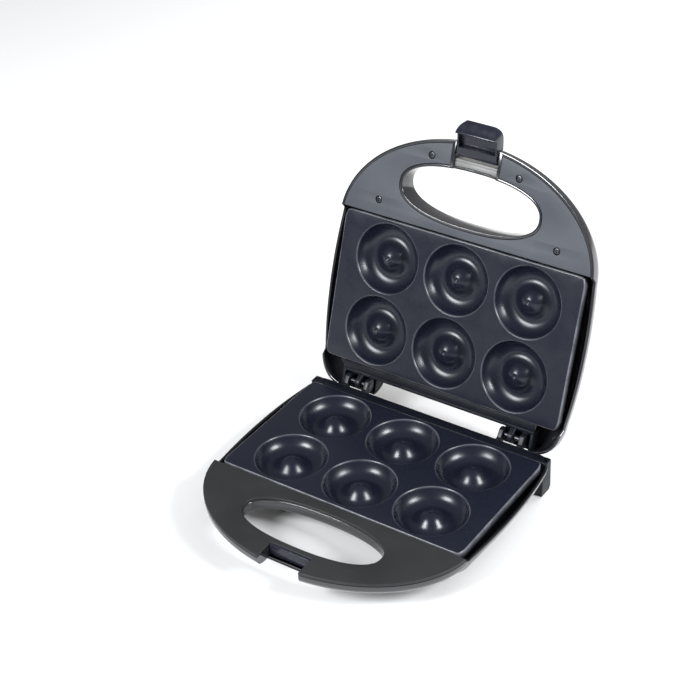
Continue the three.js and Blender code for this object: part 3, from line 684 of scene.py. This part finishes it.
# ---------------------------------------------------------------- donut plates
def onto_corner(x, s):
    """Moves a point that lies past a rounded corner of the flat face onto it."""
    cx = math.copysign(FLAT_X - FLAT_CORNER, x)
    cs = FLAT_NEAR + FLAT_CORNER if s < WELL_MID_S else FLAT_FAR - FLAT_CORNER
    out_x = abs(x) > abs(cx)
    out_s = s < cs if s < WELL_MID_S else s > cs
    if out_x and out_s:
        v = Vector((x - cx, s - cs)).normalized() * FLAT_CORNER
        return cx + v.x, cs + v.y
    return x, s


def ray_angles(corners):
    """Even directions round a well, the nearest ones turned towards the cell's corners."""
    angles = [2 * math.pi * i / WELL_RAYS for i in range(WELL_RAYS)]
    for c in corners:
        nearest = min(range(WELL_RAYS), key=lambda i: abs(
            math.remainder(angles[i] - c, 2 * math.pi)))
        angles[nearest] = c
    return angles


def cell_vertices(column, row, profile):
    """Points along each ray of one well: on the cell's border, then down the profile."""
    cx = column * WELL_PITCH_X
    cs = WELL_MID_S + (row - 0.5) * WELL_PITCH_S
    right = FLAT_X if column == 1 else cx + WELL_PITCH_X / 2
    left = -FLAT_X if column == -1 else cx - WELL_PITCH_X / 2
    near = FLAT_NEAR if row == 0 else WELL_MID_S
    far = FLAT_FAR if row == 1 else WELL_MID_S
    vertices = []
    for a in ray_angles([math.atan2(b - cs, a - cx) for a in (left, right) for b in (near, far)]):
        ux, us = math.cos(a), math.sin(a)
        tx = ((right if ux > 0 else left) - cx) / ux if abs(ux) > 1e-9 else 1e9
        ts = ((far if us > 0 else near) - cs) / us if abs(us) > 1e-9 else 1e9
        t = min(tx, ts)
        vertices.append((*onto_corner(cx + t * ux, cs + t * us), 0))
        vertices += [(cx + r * ux, cs + r * us, d) for r, d in profile]
    return vertices


def cell_faces(start, width):
    """Faces between neighbouring rays of width points, and the one in the middle."""
    faces = []
    for i in range(WELL_RAYS):
        here, beside = start + i * width, start + (i + 1) % WELL_RAYS * width
        for k in range(width - 1):
            faces.append((here + k, here + k + 1, beside + k + 1, beside + k))
    faces.append(tuple(start + i * width + width - 1 for i in range(WELL_RAYS)))
    return faces


def add_skirt(bm):
    """Rounded edge, skirt and its turned-in foot, ring by ring from the flat face's border."""
    ring = sorted((v for v in bm.verts if v.is_boundary),
                  key=lambda v: math.atan2(v.co.y - WELL_MID_S, v.co.x))
    for out, down in [(0.35, 0.06), (0.72, 0.35), (0.9, 0.8), (0.9, PLATE_SKIRT - 0.3),
                      (0.6, PLATE_SKIRT), (-0.8, PLATE_SKIRT), (-0.9, PLATE_SKIRT - 3)]:
        lower = []
        for v in ring:
            nx, ns = edge_normal(v.co.x, v.co.y)
            foot_x, foot_s = foot_point(v.co.x, v.co.y)
            lower.append(bm.verts.new((foot_x + nx * out, foot_s + ns * out, down)))
        for i, v in enumerate(lower):
            bm.faces.new((ring[i - 1], ring[i], v, lower[i - 1]))
        ring = lower


def plate_mesh(name, half):
    """Plate as six cells of rays, one round each well, then its edge and skirt."""
    profile = smooth_profile(WELL_PROFILE)
    vertices, faces = [], []
    for column in (-1, 0, 1):
        for row in (0, 1):
            faces += cell_faces(len(vertices), len(profile) + 1)
            vertices += cell_vertices(column, row, profile)
    mesh = bpy.data.meshes.new(name)
    mesh.from_pydata(vertices, [], faces)
    bm = bmesh.new()
    bm.from_mesh(mesh)
    bmesh.ops.remove_doubles(bm, verts=bm.verts, dist=0.01)
    add_skirt(bm)
    bmesh.ops.recalc_face_normals(bm, faces=bm.faces)
    bm.to_mesh(mesh)
    bm.free()
    # marks where the plate is painted lighter: a painted highlight on the edge and lips, partly
    # worn edge
    mark_edge_highlight_and_wear(mesh)
    mesh.transform(HALVES[half])
    return clean(bpy_object(name, mesh), 50)


def mark_edge_highlight_and_wear(mesh):
    """Vertex value that marks the plate's outer edge and, fainter, the lips of its wells, which are
    painted lighter: a painted highlight on their rounding, partly bare worn edge.
    """
    edge_highlight_and_wear = mesh.attributes.new("edge_highlight_and_wear", "FLOAT", "POINT")
    for vertex, value in zip(mesh.vertices, edge_highlight_and_wear.data):
        x, s, d = vertex.co
        column = min(1, max(-1, round(x / WELL_PITCH_X)))
        row = 0.5 if s > WELL_MID_S else -0.5
        reach = math.hypot(x - column * WELL_PITCH_X, s - WELL_MID_S - row * WELL_PITCH_S)
        on_lip = max(0, 1 - abs(reach - WELL_LIP) / 0.7) if d < 1.2 else 0
        foot_x, foot_s = foot_point(x, s)
        nx, ns = edge_normal(x, s)
        out = (x - foot_x) * nx + (s - foot_s) * ns
        on_edge = 1 if out > 0.3 and d < 1 else 0
        value.value = max(0.32 * on_lip, 0.5 * on_edge)


def smooth_profile(points, steps=2):
    """Catmull-Rom curve through the profile's points."""
    result = []
    for i in range(len(points) - 1):
        p0 = Vector(points[max(i - 1, 0)])
        p1, p2 = Vector(points[i]), Vector(points[i + 1])
        p3 = Vector(points[min(i + 2, len(points) - 1)])
        for k in range(steps):
            t = k / steps
            v = 0.5 * (2 * p1 + (p2 - p0) * t + (2 * p0 - 5 * p1 + 4 * p2 - p3) * t * t
                       + (3 * p1 - p0 - 3 * p2 + p3) * t ** 3)
            result.append((v.x, v.y))
    return result + [points[-1]]


def corner_middle(x, s):
    """Nearest point to (x, s) on the rectangle through the middles of the flat face's corners."""
    reach_x = FLAT_X - FLAT_CORNER
    return (min(reach_x, max(-reach_x, x)),
            min(FLAT_FAR - FLAT_CORNER, max(FLAT_NEAR + FLAT_CORNER, s)))


def foot_point(x, s):
    """Nearest point to (x, s) on the border of the flat face."""
    ix, js = corner_middle(x, s)
    nx, ns = edge_normal(x, s)
    return ix + nx * FLAT_CORNER, js + ns * FLAT_CORNER


def edge_normal(x, s):
    """Direction in which (x, s) lies out from the flat face's border."""
    ix, js = corner_middle(x, s)
    v = Vector((x - ix, s - js))
    return v.normalized() if v.length > 1e-6 else Vector((0, 0))


# ---------------------------------------------------------------- lid top
# right half of the panel, from the middle of its rear edge: control points and count per curve
PANEL_CURVES = [
    ([(0, 4), (42.9, 5), (66, 10)], 16),
    ([(66, 10), (78, 12), (80, 22)], 10),
    ([(80, 22), (90, 94)], 2),
    ([(90, 94), (91, 107), (78, 105)], 10),
    ([(78, 105), (45, 97), (0, 97)], 16),
]


def panel_outline(grow):
    """Outline of the top panel, moved out by grow from the panel's middle."""
    half = [PANEL_CURVES[0][0][0]]
    for points, count in PANEL_CURVES:
        half += bezier(points, count)[1:]
    outline = half + mirrored(half[1:-1])
    result = []
    for x, s in outline:
        k = 1 + grow / math.hypot(x, s - PANEL_MID_S)
        result.append((x * k, PANEL_MID_S + (s - PANEL_MID_S) * k))
    return result


def stadium(half_width, radius, side=0):
    """Oblong with round ends at the indicator; side picks its left or right half."""
    points = []
    steps = 20
    for i in range(steps + 1):
        a = math.radians(-90 + 180 * i / steps)
        points.append((half_width - radius + radius * math.cos(a),
                       INDICATOR_S + radius * math.sin(a)))
    if side == 0:
        return points + mirrored(points)
    half = points + [(0.3, INDICATOR_S + radius), (0.3, INDICATOR_S - radius)]
    return half if side > 0 else mirrored(half)


# ---------------------------------------------------------------- clip
# side view of the hooked clip as (s, d) from its pivot; the ridge at the inside is the hook
CLIP_SIDE = [
    (-3.4, 1.5), (-2.9, 2.7), (-1.5, 3.6), (0, 3.95), (1.5, 4), (3.2, 3.8), (4.5, 3.2), (5.6, 2.3),
    (6.4, 1), (6.8, -0.8), (7, -3), (7, -13), (6.7, -16.4), (6.2, -19), (5.4, -21.5), (4.2, -23.7),
    (3.2, -25), (2, -25.8), (1.2, -26), (0.4, -26), (-0.4, -25.6), (-1.2, -24.8), (-3, -22.4),
    (-5, -19.8), (-6.4, -18.4), (-6.75, -17.9), (-6.8, -17.4), (-6.4, -16.8), (-3.5, -16.4),
    (-3.3, -4), (-3.6, 0),
]


def clip_mesh():
    """Clip from its side view, cut to its front view, with a recess inside."""
    clip = along_x("clip", (-CLIP_X, CLIP_X), CLIP_SIDE, "clip", 30)
    right = [(CLIP_X, 6)]
    for i in range(13):
        a = math.radians(-7.5 * i)
        right.append((CLIP_X - CLIP_CORNER + CLIP_CORNER * math.cos(a),
                      CLIP_CORNER - CLIP_LENGTH + CLIP_CORNER * math.sin(a)))
    front = along_s("front", (-20, 20), right + mirrored(right), "clip")
    boolean(clip, [front], "INTERSECT")
    recess = [(-10, -4.4), (1.6, -4.4), (2.5, -5.4), (2.5, -14.4), (1.6, -15.4), (-10, -15.4)]
    boolean(clip, [along_x("recess", (-CLIP_CHEEK, CLIP_CHEEK), recess, "clip")])
    return rounded(clip, 0.5, 3, 35)


# ---------------------------------------------------------------- materials
def new_material(name, colour, roughness, metallic=0.0):
    """Material with its constant values set, and its Principled shader."""
    material = bpy.data.materials.new(name)
    material.use_nodes = True
    shader = material.node_tree.nodes["Principled BSDF"]
    shader.inputs["Base Color"].default_value = (*colour, 1)
    shader.inputs["Roughness"].default_value = roughness
    shader.inputs["Metallic"].default_value = metallic
    return material, shader


def add_noise(material, scale, detail=3.0, stretch=(1, 1, 1)):
    """Noise over the object's own coordinates."""
    tree = material.node_tree
    place = tree.nodes.new("ShaderNodeTexCoord")
    mapping = tree.nodes.new("ShaderNodeMapping")
    mapping.inputs["Scale"].default_value = stretch
    noise = tree.nodes.new("ShaderNodeTexNoise")
    noise.inputs["Scale"].default_value = scale
    noise.inputs["Detail"].default_value = detail
    tree.links.new(place.outputs["Object"], mapping.inputs["Vector"])
    tree.links.new(mapping.outputs["Vector"], noise.inputs["Vector"])
    return noise.outputs["Fac"]


def add_ramp(material, value, target, low, high, from_low=0.35, from_high=0.65):
    """Spreads a noise value between two numbers or colours on one socket of the shader."""
    tree = material.node_tree
    if isinstance(low, tuple):
        tree.links.new(add_mix(material, value, low, high, from_low, from_high), target)
        return
    ramp = tree.nodes.new("ShaderNodeMapRange")
    ramp.inputs["From Min"].default_value = from_low
    ramp.inputs["From Max"].default_value = from_high
    ramp.inputs["To Min"].default_value = low
    ramp.inputs["To Max"].default_value = high
    tree.links.new(value, ramp.inputs["Value"])
    tree.links.new(ramp.outputs["Result"], target)


def add_mix(material, value, low, high, from_low, from_high):
    """Colour between low and high, picked by a noise value."""
    ramp = material.node_tree.nodes.new("ShaderNodeValToRGB")
    ramp.color_ramp.elements[0].position = from_low
    ramp.color_ramp.elements[1].position = from_high
    ramp.color_ramp.elements[0].color = (*low, 1)
    ramp.color_ramp.elements[1].color = (*high, 1)
    material.node_tree.links.new(value, ramp.inputs["Fac"])
    return ramp.outputs["Color"]


def add_bump(material, shader, value, strength, distance):
    tree = material.node_tree
    bump = tree.nodes.new("ShaderNodeBump")
    bump.inputs["Strength"].default_value = strength
    bump.inputs["Distance"].default_value = distance
    tree.links.new(value, bump.inputs["Height"])
    tree.links.new(bump.outputs["Normal"], shader.inputs["Normal"])


def gloss_black():
    material, shader = new_material("gloss_black", (0.012, 0.012, 0.015), 0.2)
    add_ramp(material, add_noise(material, 45), shader.inputs["Roughness"], 0.13, 0.24)
    add_bump(material, shader, add_noise(material, 320, 2), 0.05, 0.0003)
    shader.inputs["Coat Weight"].default_value = 0.7
    shader.inputs["Coat Roughness"].default_value = 0.08
    return material


def cover_grey(name, dark, light):
    """Satin moulded face with a fine grain."""
    material, shader = new_material(name, light, 0.5)
    add_ramp(material, add_noise(material, 26), shader.inputs["Base Color"], dark, light)
    add_ramp(material, add_noise(material, 900, 2), shader.inputs["Roughness"], 0.4, 0.56)
    add_bump(material, shader, add_noise(material, 2200, 3), 0.22, 0.00012)
    shader.inputs["Specular IOR Level"].default_value = 0.28
    return material


def non_stick():
    """Dark coat with a fine fleck, painted lighter on the plate's edge and the wells' lips: a
    painted highlight, partly bare worn edge, broken into patches by a noise.
    """
    material, shader = new_material("non_stick", (0.01, 0.012, 0.02), 0.33)
    tree = material.node_tree
    fleck = add_mix(material, add_noise(material, 3800, 1), (0.005, 0.0062, 0.012),
                    (0.012, 0.0145, 0.025), 0.5, 0.85)
    edge_highlight_value = tree.nodes.new("ShaderNodeAttribute")
    edge_highlight_value.attribute_name = "edge_highlight_and_wear"
    patchy = tree.nodes.new("ShaderNodeMath")
    patchy.operation = "MULTIPLY"
    highlight_patches = tree.nodes.new("ShaderNodeMapRange")
    for socket, value in (("From Min", 0.3), ("From Max", 0.6), ("To Min", 0.35), ("To Max", 1)):
        highlight_patches.inputs[socket].default_value = value
    tree.links.new(add_noise(material, 70), highlight_patches.inputs["Value"])
    tree.links.new(edge_highlight_value.outputs["Fac"], patchy.inputs[0])
    tree.links.new(highlight_patches.outputs["Result"], patchy.inputs[1])
    blend = tree.nodes.new("ShaderNodeMix")
    blend.data_type = "RGBA"
    # light grey of the plate's edge and lips: a painted highlight, partly bare worn edge
    blend.inputs["B"].default_value = (0.2, 0.205, 0.22, 1)
    tree.links.new(patchy.outputs[0], blend.inputs["Factor"])
    tree.links.new(fleck, blend.inputs["A"])
    tree.links.new(blend.outputs["Result"], shader.inputs["Base Color"])
    add_ramp(material, add_noise(material, 60), shader.inputs["Roughness"], 0.25, 0.31)
    add_bump(material, shader, add_noise(material, 1600, 3), 0.1, 0.00012)
    shader.inputs["Specular IOR Level"].default_value = 0.36
    return material


def matt_black():
    """Unpolished copy of the black moulding for the lugs, shelf and rear posts, which lie out of
    the way of the light: its darker colour is painted shade.
    """
    material, shader = new_material("matt_black", (0.003, 0.004, 0.007), 0.4)
    add_ramp(material, add_noise(material, 90), shader.inputs["Roughness"], 0.3, 0.46)
    add_bump(material, shader, add_noise(material, 900, 2), 0.08, 0.0001)
    shader.inputs["Specular IOR Level"].default_value = 0.25
    return material


def clip_black():
    material, shader = new_material("clip_black", (0.01, 0.011, 0.018), 0.24)
    add_ramp(material, add_noise(material, 160), shader.inputs["Roughness"], 0.18, 0.3)
    add_bump(material, shader, add_noise(material, 1500, 2), 0.08, 0.0001)
    shader.inputs["Specular IOR Level"].default_value = 0.32
    return material


def brushed_panel():
    """Light metal with fine lines along x."""
    material, shader = new_material("brushed_panel", (0.72, 0.7, 0.71), 0.34, 0.8)
    lines = add_noise(material, 30, 6, (0.6, 60, 60))
    add_ramp(material, lines, shader.inputs["Roughness"], 0.24, 0.42)
    add_ramp(material, lines, shader.inputs["Base Color"], (0.68, 0.66, 0.67), (0.76, 0.74, 0.75))
    add_bump(material, shader, lines, 0.08, 0.0001)
    shader.inputs["Anisotropic"].default_value = 0.6
    return material


def metal(name, colour, rough, scratch):
    material, shader = new_material(name, colour, rough, 1.0)
    add_ramp(material, add_noise(material, scratch), shader.inputs["Roughness"],
             rough * 0.75, rough * 1.4)
    add_bump(material, shader, add_noise(material, scratch * 4, 2), 0.06, 0.0001)
    return material


def plain(name, colour, rough, grain, strength):
    dark = tuple(c * 0.82 for c in colour)
    material, shader = new_material(name, colour, rough)
    add_ramp(material, add_noise(material, grain * 0.1), shader.inputs["Base Color"], dark, colour)
    add_bump(material, shader, add_noise(material, grain, 3), strength, 0.0002)
    return material


def lens(name, colour):
    material, shader = new_material(name, colour, 0.12)
    add_ramp(material, add_noise(material, 220, 1), shader.inputs["Base Color"],
             tuple(c * 0.7 for c in colour), colour)
    shader.inputs["Transmission Weight"].default_value = 0.25
    add_bump(material, shader, add_noise(material, 500, 1), 0.08, 0.0003)
    return material


def lamp_glass():
    material, shader = new_material("lamp_glass", (0.95, 0.9, 0.82), 0.05)
    shader.inputs["Transmission Weight"].default_value = 0.8
    add_ramp(material, add_noise(material, 400), shader.inputs["Roughness"], 0.03, 0.1)
    return material


LOOKS = {
    "gloss_black": gloss_black(),
    "matt_black": matt_black(),
    # both handle covers are one grey moulding; the lid's copy is painted lighter, painted light
    # where it faces the lamps, and the base's copy darker, painted shade
    "cover_grey": cover_grey("cover_grey", (0.0145, 0.0148, 0.0158), (0.0185, 0.019, 0.02)),
    "lid_cover_grey": cover_grey("lid_cover_grey", (0.04, 0.044, 0.053), (0.051, 0.055, 0.065)),
    "non_stick": non_stick(),
    "bridge_grey": plain("bridge_grey", (0.17, 0.17, 0.165), 0.45, 700, 0.12),
    "clip_black": clip_black(),
    "brushed_panel": brushed_panel(),
    "bright_steel": metal("bright_steel", (0.62, 0.62, 0.63), 0.24, 400),
    "dark_steel": metal("dark_steel", (0.06, 0.062, 0.07), 0.32, 600),
    "tinned_sheet": metal("tinned_sheet", (0.5, 0.5, 0.51), 0.4, 120),
    "foot_rubber": plain("foot_rubber", (0.02, 0.02, 0.021), 0.8, 1800, 0.25),
    "ceramic": plain("ceramic", (0.75, 0.72, 0.66), 0.5, 900, 0.1),
    "red_lens": lens("red_lens", (0.5, 0.02, 0.04)),
    "green_lens": lens("green_lens", (0.02, 0.22, 0.12)),
    "lamp_glass": lamp_glass(),
}


# ---------------------------------------------------------------- stage
def make_camera():
    """Camera at the viewing angle of the open unit, in the frame of the plate's hinge edge."""
    azimuth, elevation, roll = map(math.radians, CAMERA_TURN)
    back = Vector((math.sin(azimuth) * math.cos(elevation),
                   -math.cos(azimuth) * math.cos(elevation), math.sin(elevation)))
    level = Vector((math.cos(azimuth), math.sin(azimuth), 0))
    up = back.cross(level)
    right = math.cos(roll) * level + math.sin(roll) * up
    top = -math.sin(roll) * level + math.cos(roll) * up
    place = back * CAMERA_BACK - right * CAMERA_LEFT + top * CAMERA_UP
    data = bpy.data.cameras.new("camera")
    data.lens = CAMERA_LENS
    data.sensor_width = 36
    camera = bpy.data.objects.new("camera", data)
    turn = Matrix((right, top, back)).transposed().to_4x4()
    origin = Vector((0, PLATE_TOP.y, PLATE_TOP.z))
    camera.matrix_world = Matrix.Translation(origin + place * MM) @ turn
    bpy.context.scene.collection.objects.link(camera)
    bpy.context.scene.camera = camera


def make_floor():
    """White ground under the feet."""
    mesh = bpy.data.meshes.new("floor")
    size = 6
    mesh.from_pydata([(-size, -size, 0), (size, -size, 0), (size, size, 0), (-size, size, 0)],
                     [], [(0, 1, 2, 3)])
    floor = bpy_object("floor", mesh)
    material, shader = new_material("floor_white", (0.655, 0.65, 0.645), 0.6)
    shader.inputs["Specular IOR Level"].default_value = 0.1
    mesh.materials.append(material)


def area_light(name, place, target, size, power, colour=(1, 1, 1)):
    data = bpy.data.lights.new(name, "AREA")
    data.shape = "RECTANGLE"
    data.size, data.size_y = size
    data.energy = power
    data.color = colour
    light = bpy.data.objects.new(name, data)
    aim = (Vector(target) - Vector(place)).to_track_quat("-Z", "Y")
    light.matrix_world = Matrix.Translation(place) @ aim.to_matrix().to_4x4()
    bpy.context.scene.collection.objects.link(light)
    return light


def make_lights():
    """Two cool key lights, and a back light and a fill that leave no reflections."""
    world = bpy.data.worlds.new("studio")
    bpy.context.scene.world = world
    world.use_nodes = True
    world.node_tree.nodes["Background"].inputs["Color"].default_value = (1, 1, 1, 1)
    world.node_tree.nodes["Background"].inputs["Strength"].default_value = 0.3
    area_light("key_left", (-0.576, -1.342, 1.136), (0, 0, 0.04), (0.7, 0.6), 50, COOL)
    area_light("key_right", (1.456, 0.098, 1.136), (0, 0, 0.04), (0.6, 0.6), 46, COOL)
    for light in (area_light("back_light", (0.35, 1.5, 1.0), (0, 0.25, 0), (1.2, 0.5), 27),
                  area_light("front_fill", (0.45, -1.67, 0.45), (0, 0, 0.1), (1.2, 0.35), 9)):
        light.visible_glossy = False
    bpy.context.scene.view_settings.view_transform = "Standard"


# ---------------------------------------------------------------- assembly
def make_base():
    """Base half, from its shell to the lower plate, then what each side holds."""
    finish_piece(even_normals(base_grip()), "base", "gloss_black", ["base_shell"])
    finish_piece(even_normals(base_body()), "base", "gloss_black")
    tube = hole_tube("base_hole_wall", "base", lambda s: GRIP_DEPTH, FRONT_RIM)
    finish_piece(tube, "base", "gloss_black")
    make_base_notch()
    shelf = block("base_rear_shelf", (-98, 98), (-8.5, -0.6), (REAR_RIM, 4), "base", 0.4)
    finish_piece(shelf, "base", "matt_black")
    finish_piece(base_cover(), "base", "cover_grey", ["base_handle_cover"])
    finish_piece(plate_mesh("lower_plate", "base"), "base", "non_stick", ["lower_donut_plate"])
    for sign, side in SIDES:
        make_base_rear(sign, side)
        make_feet(sign, side)
        for index, (x, s) in enumerate(BASE_SCREWS, 1):
            name, face = f"base_screw_{side}_{index}", GRIP_DEPTH - 0.2
            screw = cover_screw(name, sign * x, s, face, -1, "base")
            finish_piece(screw, "base", "dark_steel", [f"base_cover_screw_{side}_{index}"])


def make_base_notch():
    """Walls of the notch at the base's front and the ledge the clip hooks under."""
    finish_piece(base_notch_sides(), "base", "gloss_black")
    xs = (0.3 - BASE_NOTCH_X, BASE_NOTCH_X - 0.3)
    wall = block("base_notch_wall", xs, (BASE_NOTCH_S - 2.1, BASE_NOTCH_S),
                 (FLUSH_RIM, 10.5), "base", 0.3)
    finish_piece(wall, "base", "clip_black")
    ledge = block("base_notch_ledge", xs, (BASE_NOTCH_S - 1, LEDGE_S),
                  (BASE_NOTCH_D, GRIP_DEPTH), "base", 0.7)
    finish_piece(ledge, "base", "gloss_black")


def make_base_rear(sign, side):
    """Hinge lugs and the square rear post, which starts level with the rim behind the plate."""
    for index, (near, far) in enumerate(BASE_LUGS_X):
        lug = lug_mesh(f"base_lug_{side}_{index}", across(sign, near, far), "base")
        finish_piece(lug, "base", "matt_black")
    outline = [(-9, REAR_RIM), (-0.8, REAR_RIM), (-0.8, 7.6), (5, 7.6), (5, 27.8), (-9, 27.8)]
    post = along_x(f"rear_corner_{side}", across(sign, *REAR_POST_X), outline, "base")
    finish_piece(rounded(post, 0.8), "base", "matt_black")


def make_feet(sign, side):
    """Front post with its round pad, and the square pad under the rear post."""
    x, s = sign * FRONT_FOOT_X, FRONT_FOOT_S
    post = prism(f"foot_post_{side}", circle(x, s, 8.4, 48), (20, 27), "base")
    finish_piece(rounded(post, 0.6), "base", "gloss_black")
    pad = prism(f"front_pad_{side}", circle(x, s, 7.2, 48), (27.3, GROUND_D), "base")
    finish_piece(rounded(pad, 0.7), "base", "foot_rubber", [f"front_foot_{side}"])
    pad = block(f"rear_pad_{side}", across(sign, *REAR_PAD_X), (-8.5, 4.5),
                (28.1, GROUND_D), "base", 0.6)
    finish_piece(pad, "base", "foot_rubber", [f"rear_foot_{side}"])


def lug_mesh(name, xs, half):
    """Hinge lug: a round eye on a neck that runs into the shell."""
    s, z = HINGE
    d, low, high = (-z, -1, 9) if half == "base" else (z - PLATE_GAP, 0.8, 9.6)
    outline = [
        (s + LUG_EYE * math.cos(math.radians(a)), d + LUG_EYE * math.sin(math.radians(a)))
        for a in range(60, 301, 8)
    ]
    if half == "base":
        outline += [(-9.6, low), (-7.4, low), (-7.4, high), (s, high)]
    else:
        outline += [(-8, low), (-8, high)]
    return rounded(along_x(name, xs, outline, half), 0.5)


def make_lid():
    """Lid half, from its shell to the upper plate, lugs and screws, then its top."""
    finish_piece(even_normals(lid_body()), "lid", "gloss_black", ["lid_shell"])
    tube = hole_tube("lid_hole_wall", "lid", lid_depth, FLUSH_RIM)
    notch = block("cut_notch", (-LID_NOTCH_X, LID_NOTCH_X), (170, PAST_HANDLE),
                  (-1, FRONT_RIM), "lid")
    finish_piece(boolean(tube, [notch]), "lid", "gloss_black")
    finish_piece(lid_notch_sides(), "lid", "gloss_black")
    finish_piece(lid_bridge(), "lid", "bridge_grey")
    finish_piece(lid_rear_frame(), "lid", "matt_black")
    finish_piece(lid_cover(), "lid", "lid_cover_grey", ["lid_handle_cover"])
    finish_piece(plate_mesh("upper_plate", "lid"), "lid", "non_stick", ["upper_donut_plate"])
    for sign, side in SIDES:
        lug = lug_mesh(f"lid_lug_{side}", across(sign, *LID_LUG_X), "lid")
        finish_piece(lug, "lid", "matt_black")
        for index, (x, s) in enumerate(LID_SCREWS, 1):
            screw = cover_screw(f"lid_screw_{side}_{index}", sign * x, s, 0.3, 1, "lid")
            finish_piece(screw, "lid", "dark_steel", [f"lid_cover_screw_{side}_{index}"])
    make_lid_top()


def make_lid_top():
    """Top panel, with the two lenses in their bezel."""
    panel = plate_from_curves("top_panel", [panel_outline(0), stadium(22.8, 6.8)],
                              (23.7, 25.2), 0.15, "lid")
    finish_piece(panel, "lid", "brushed_panel", ["steel_top_panel"])
    bezel = plate_from_curves("bezel", [stadium(24, 8), stadium(21, 5)], (25.5, 26.3), 0.35, "lid")
    finish_piece(bezel, "lid", "gloss_black", ["indicator_bezel"])
    for sign, look, node in ((-1, "red_lens", "red_power_lens"),
                             (1, "green_lens", "green_ready_lens")):
        cap = plate_from_curves(look + "_cap", [stadium(20.7, 4.7, sign)], (23, 26.6), 0.7, "lid")
        finish_piece(cap, "lid", look, [node])


def dress_nodes():
    """Gives each CAD node the look of its material slot."""
    for entry in frame["record"]["subparts"]:
        node = frame["nodes"][entry["node"]]
        node.data.materials.clear()
        node.data.materials.append(LOOKS[entry["material_slot"]])
        shade(node, 40)


make_camera()
make_floor()
make_lights()
make_base()
make_lid()
finish_piece(clip_mesh(), "latch", "clip_black", ["latch_clip"])
dress_nodes()
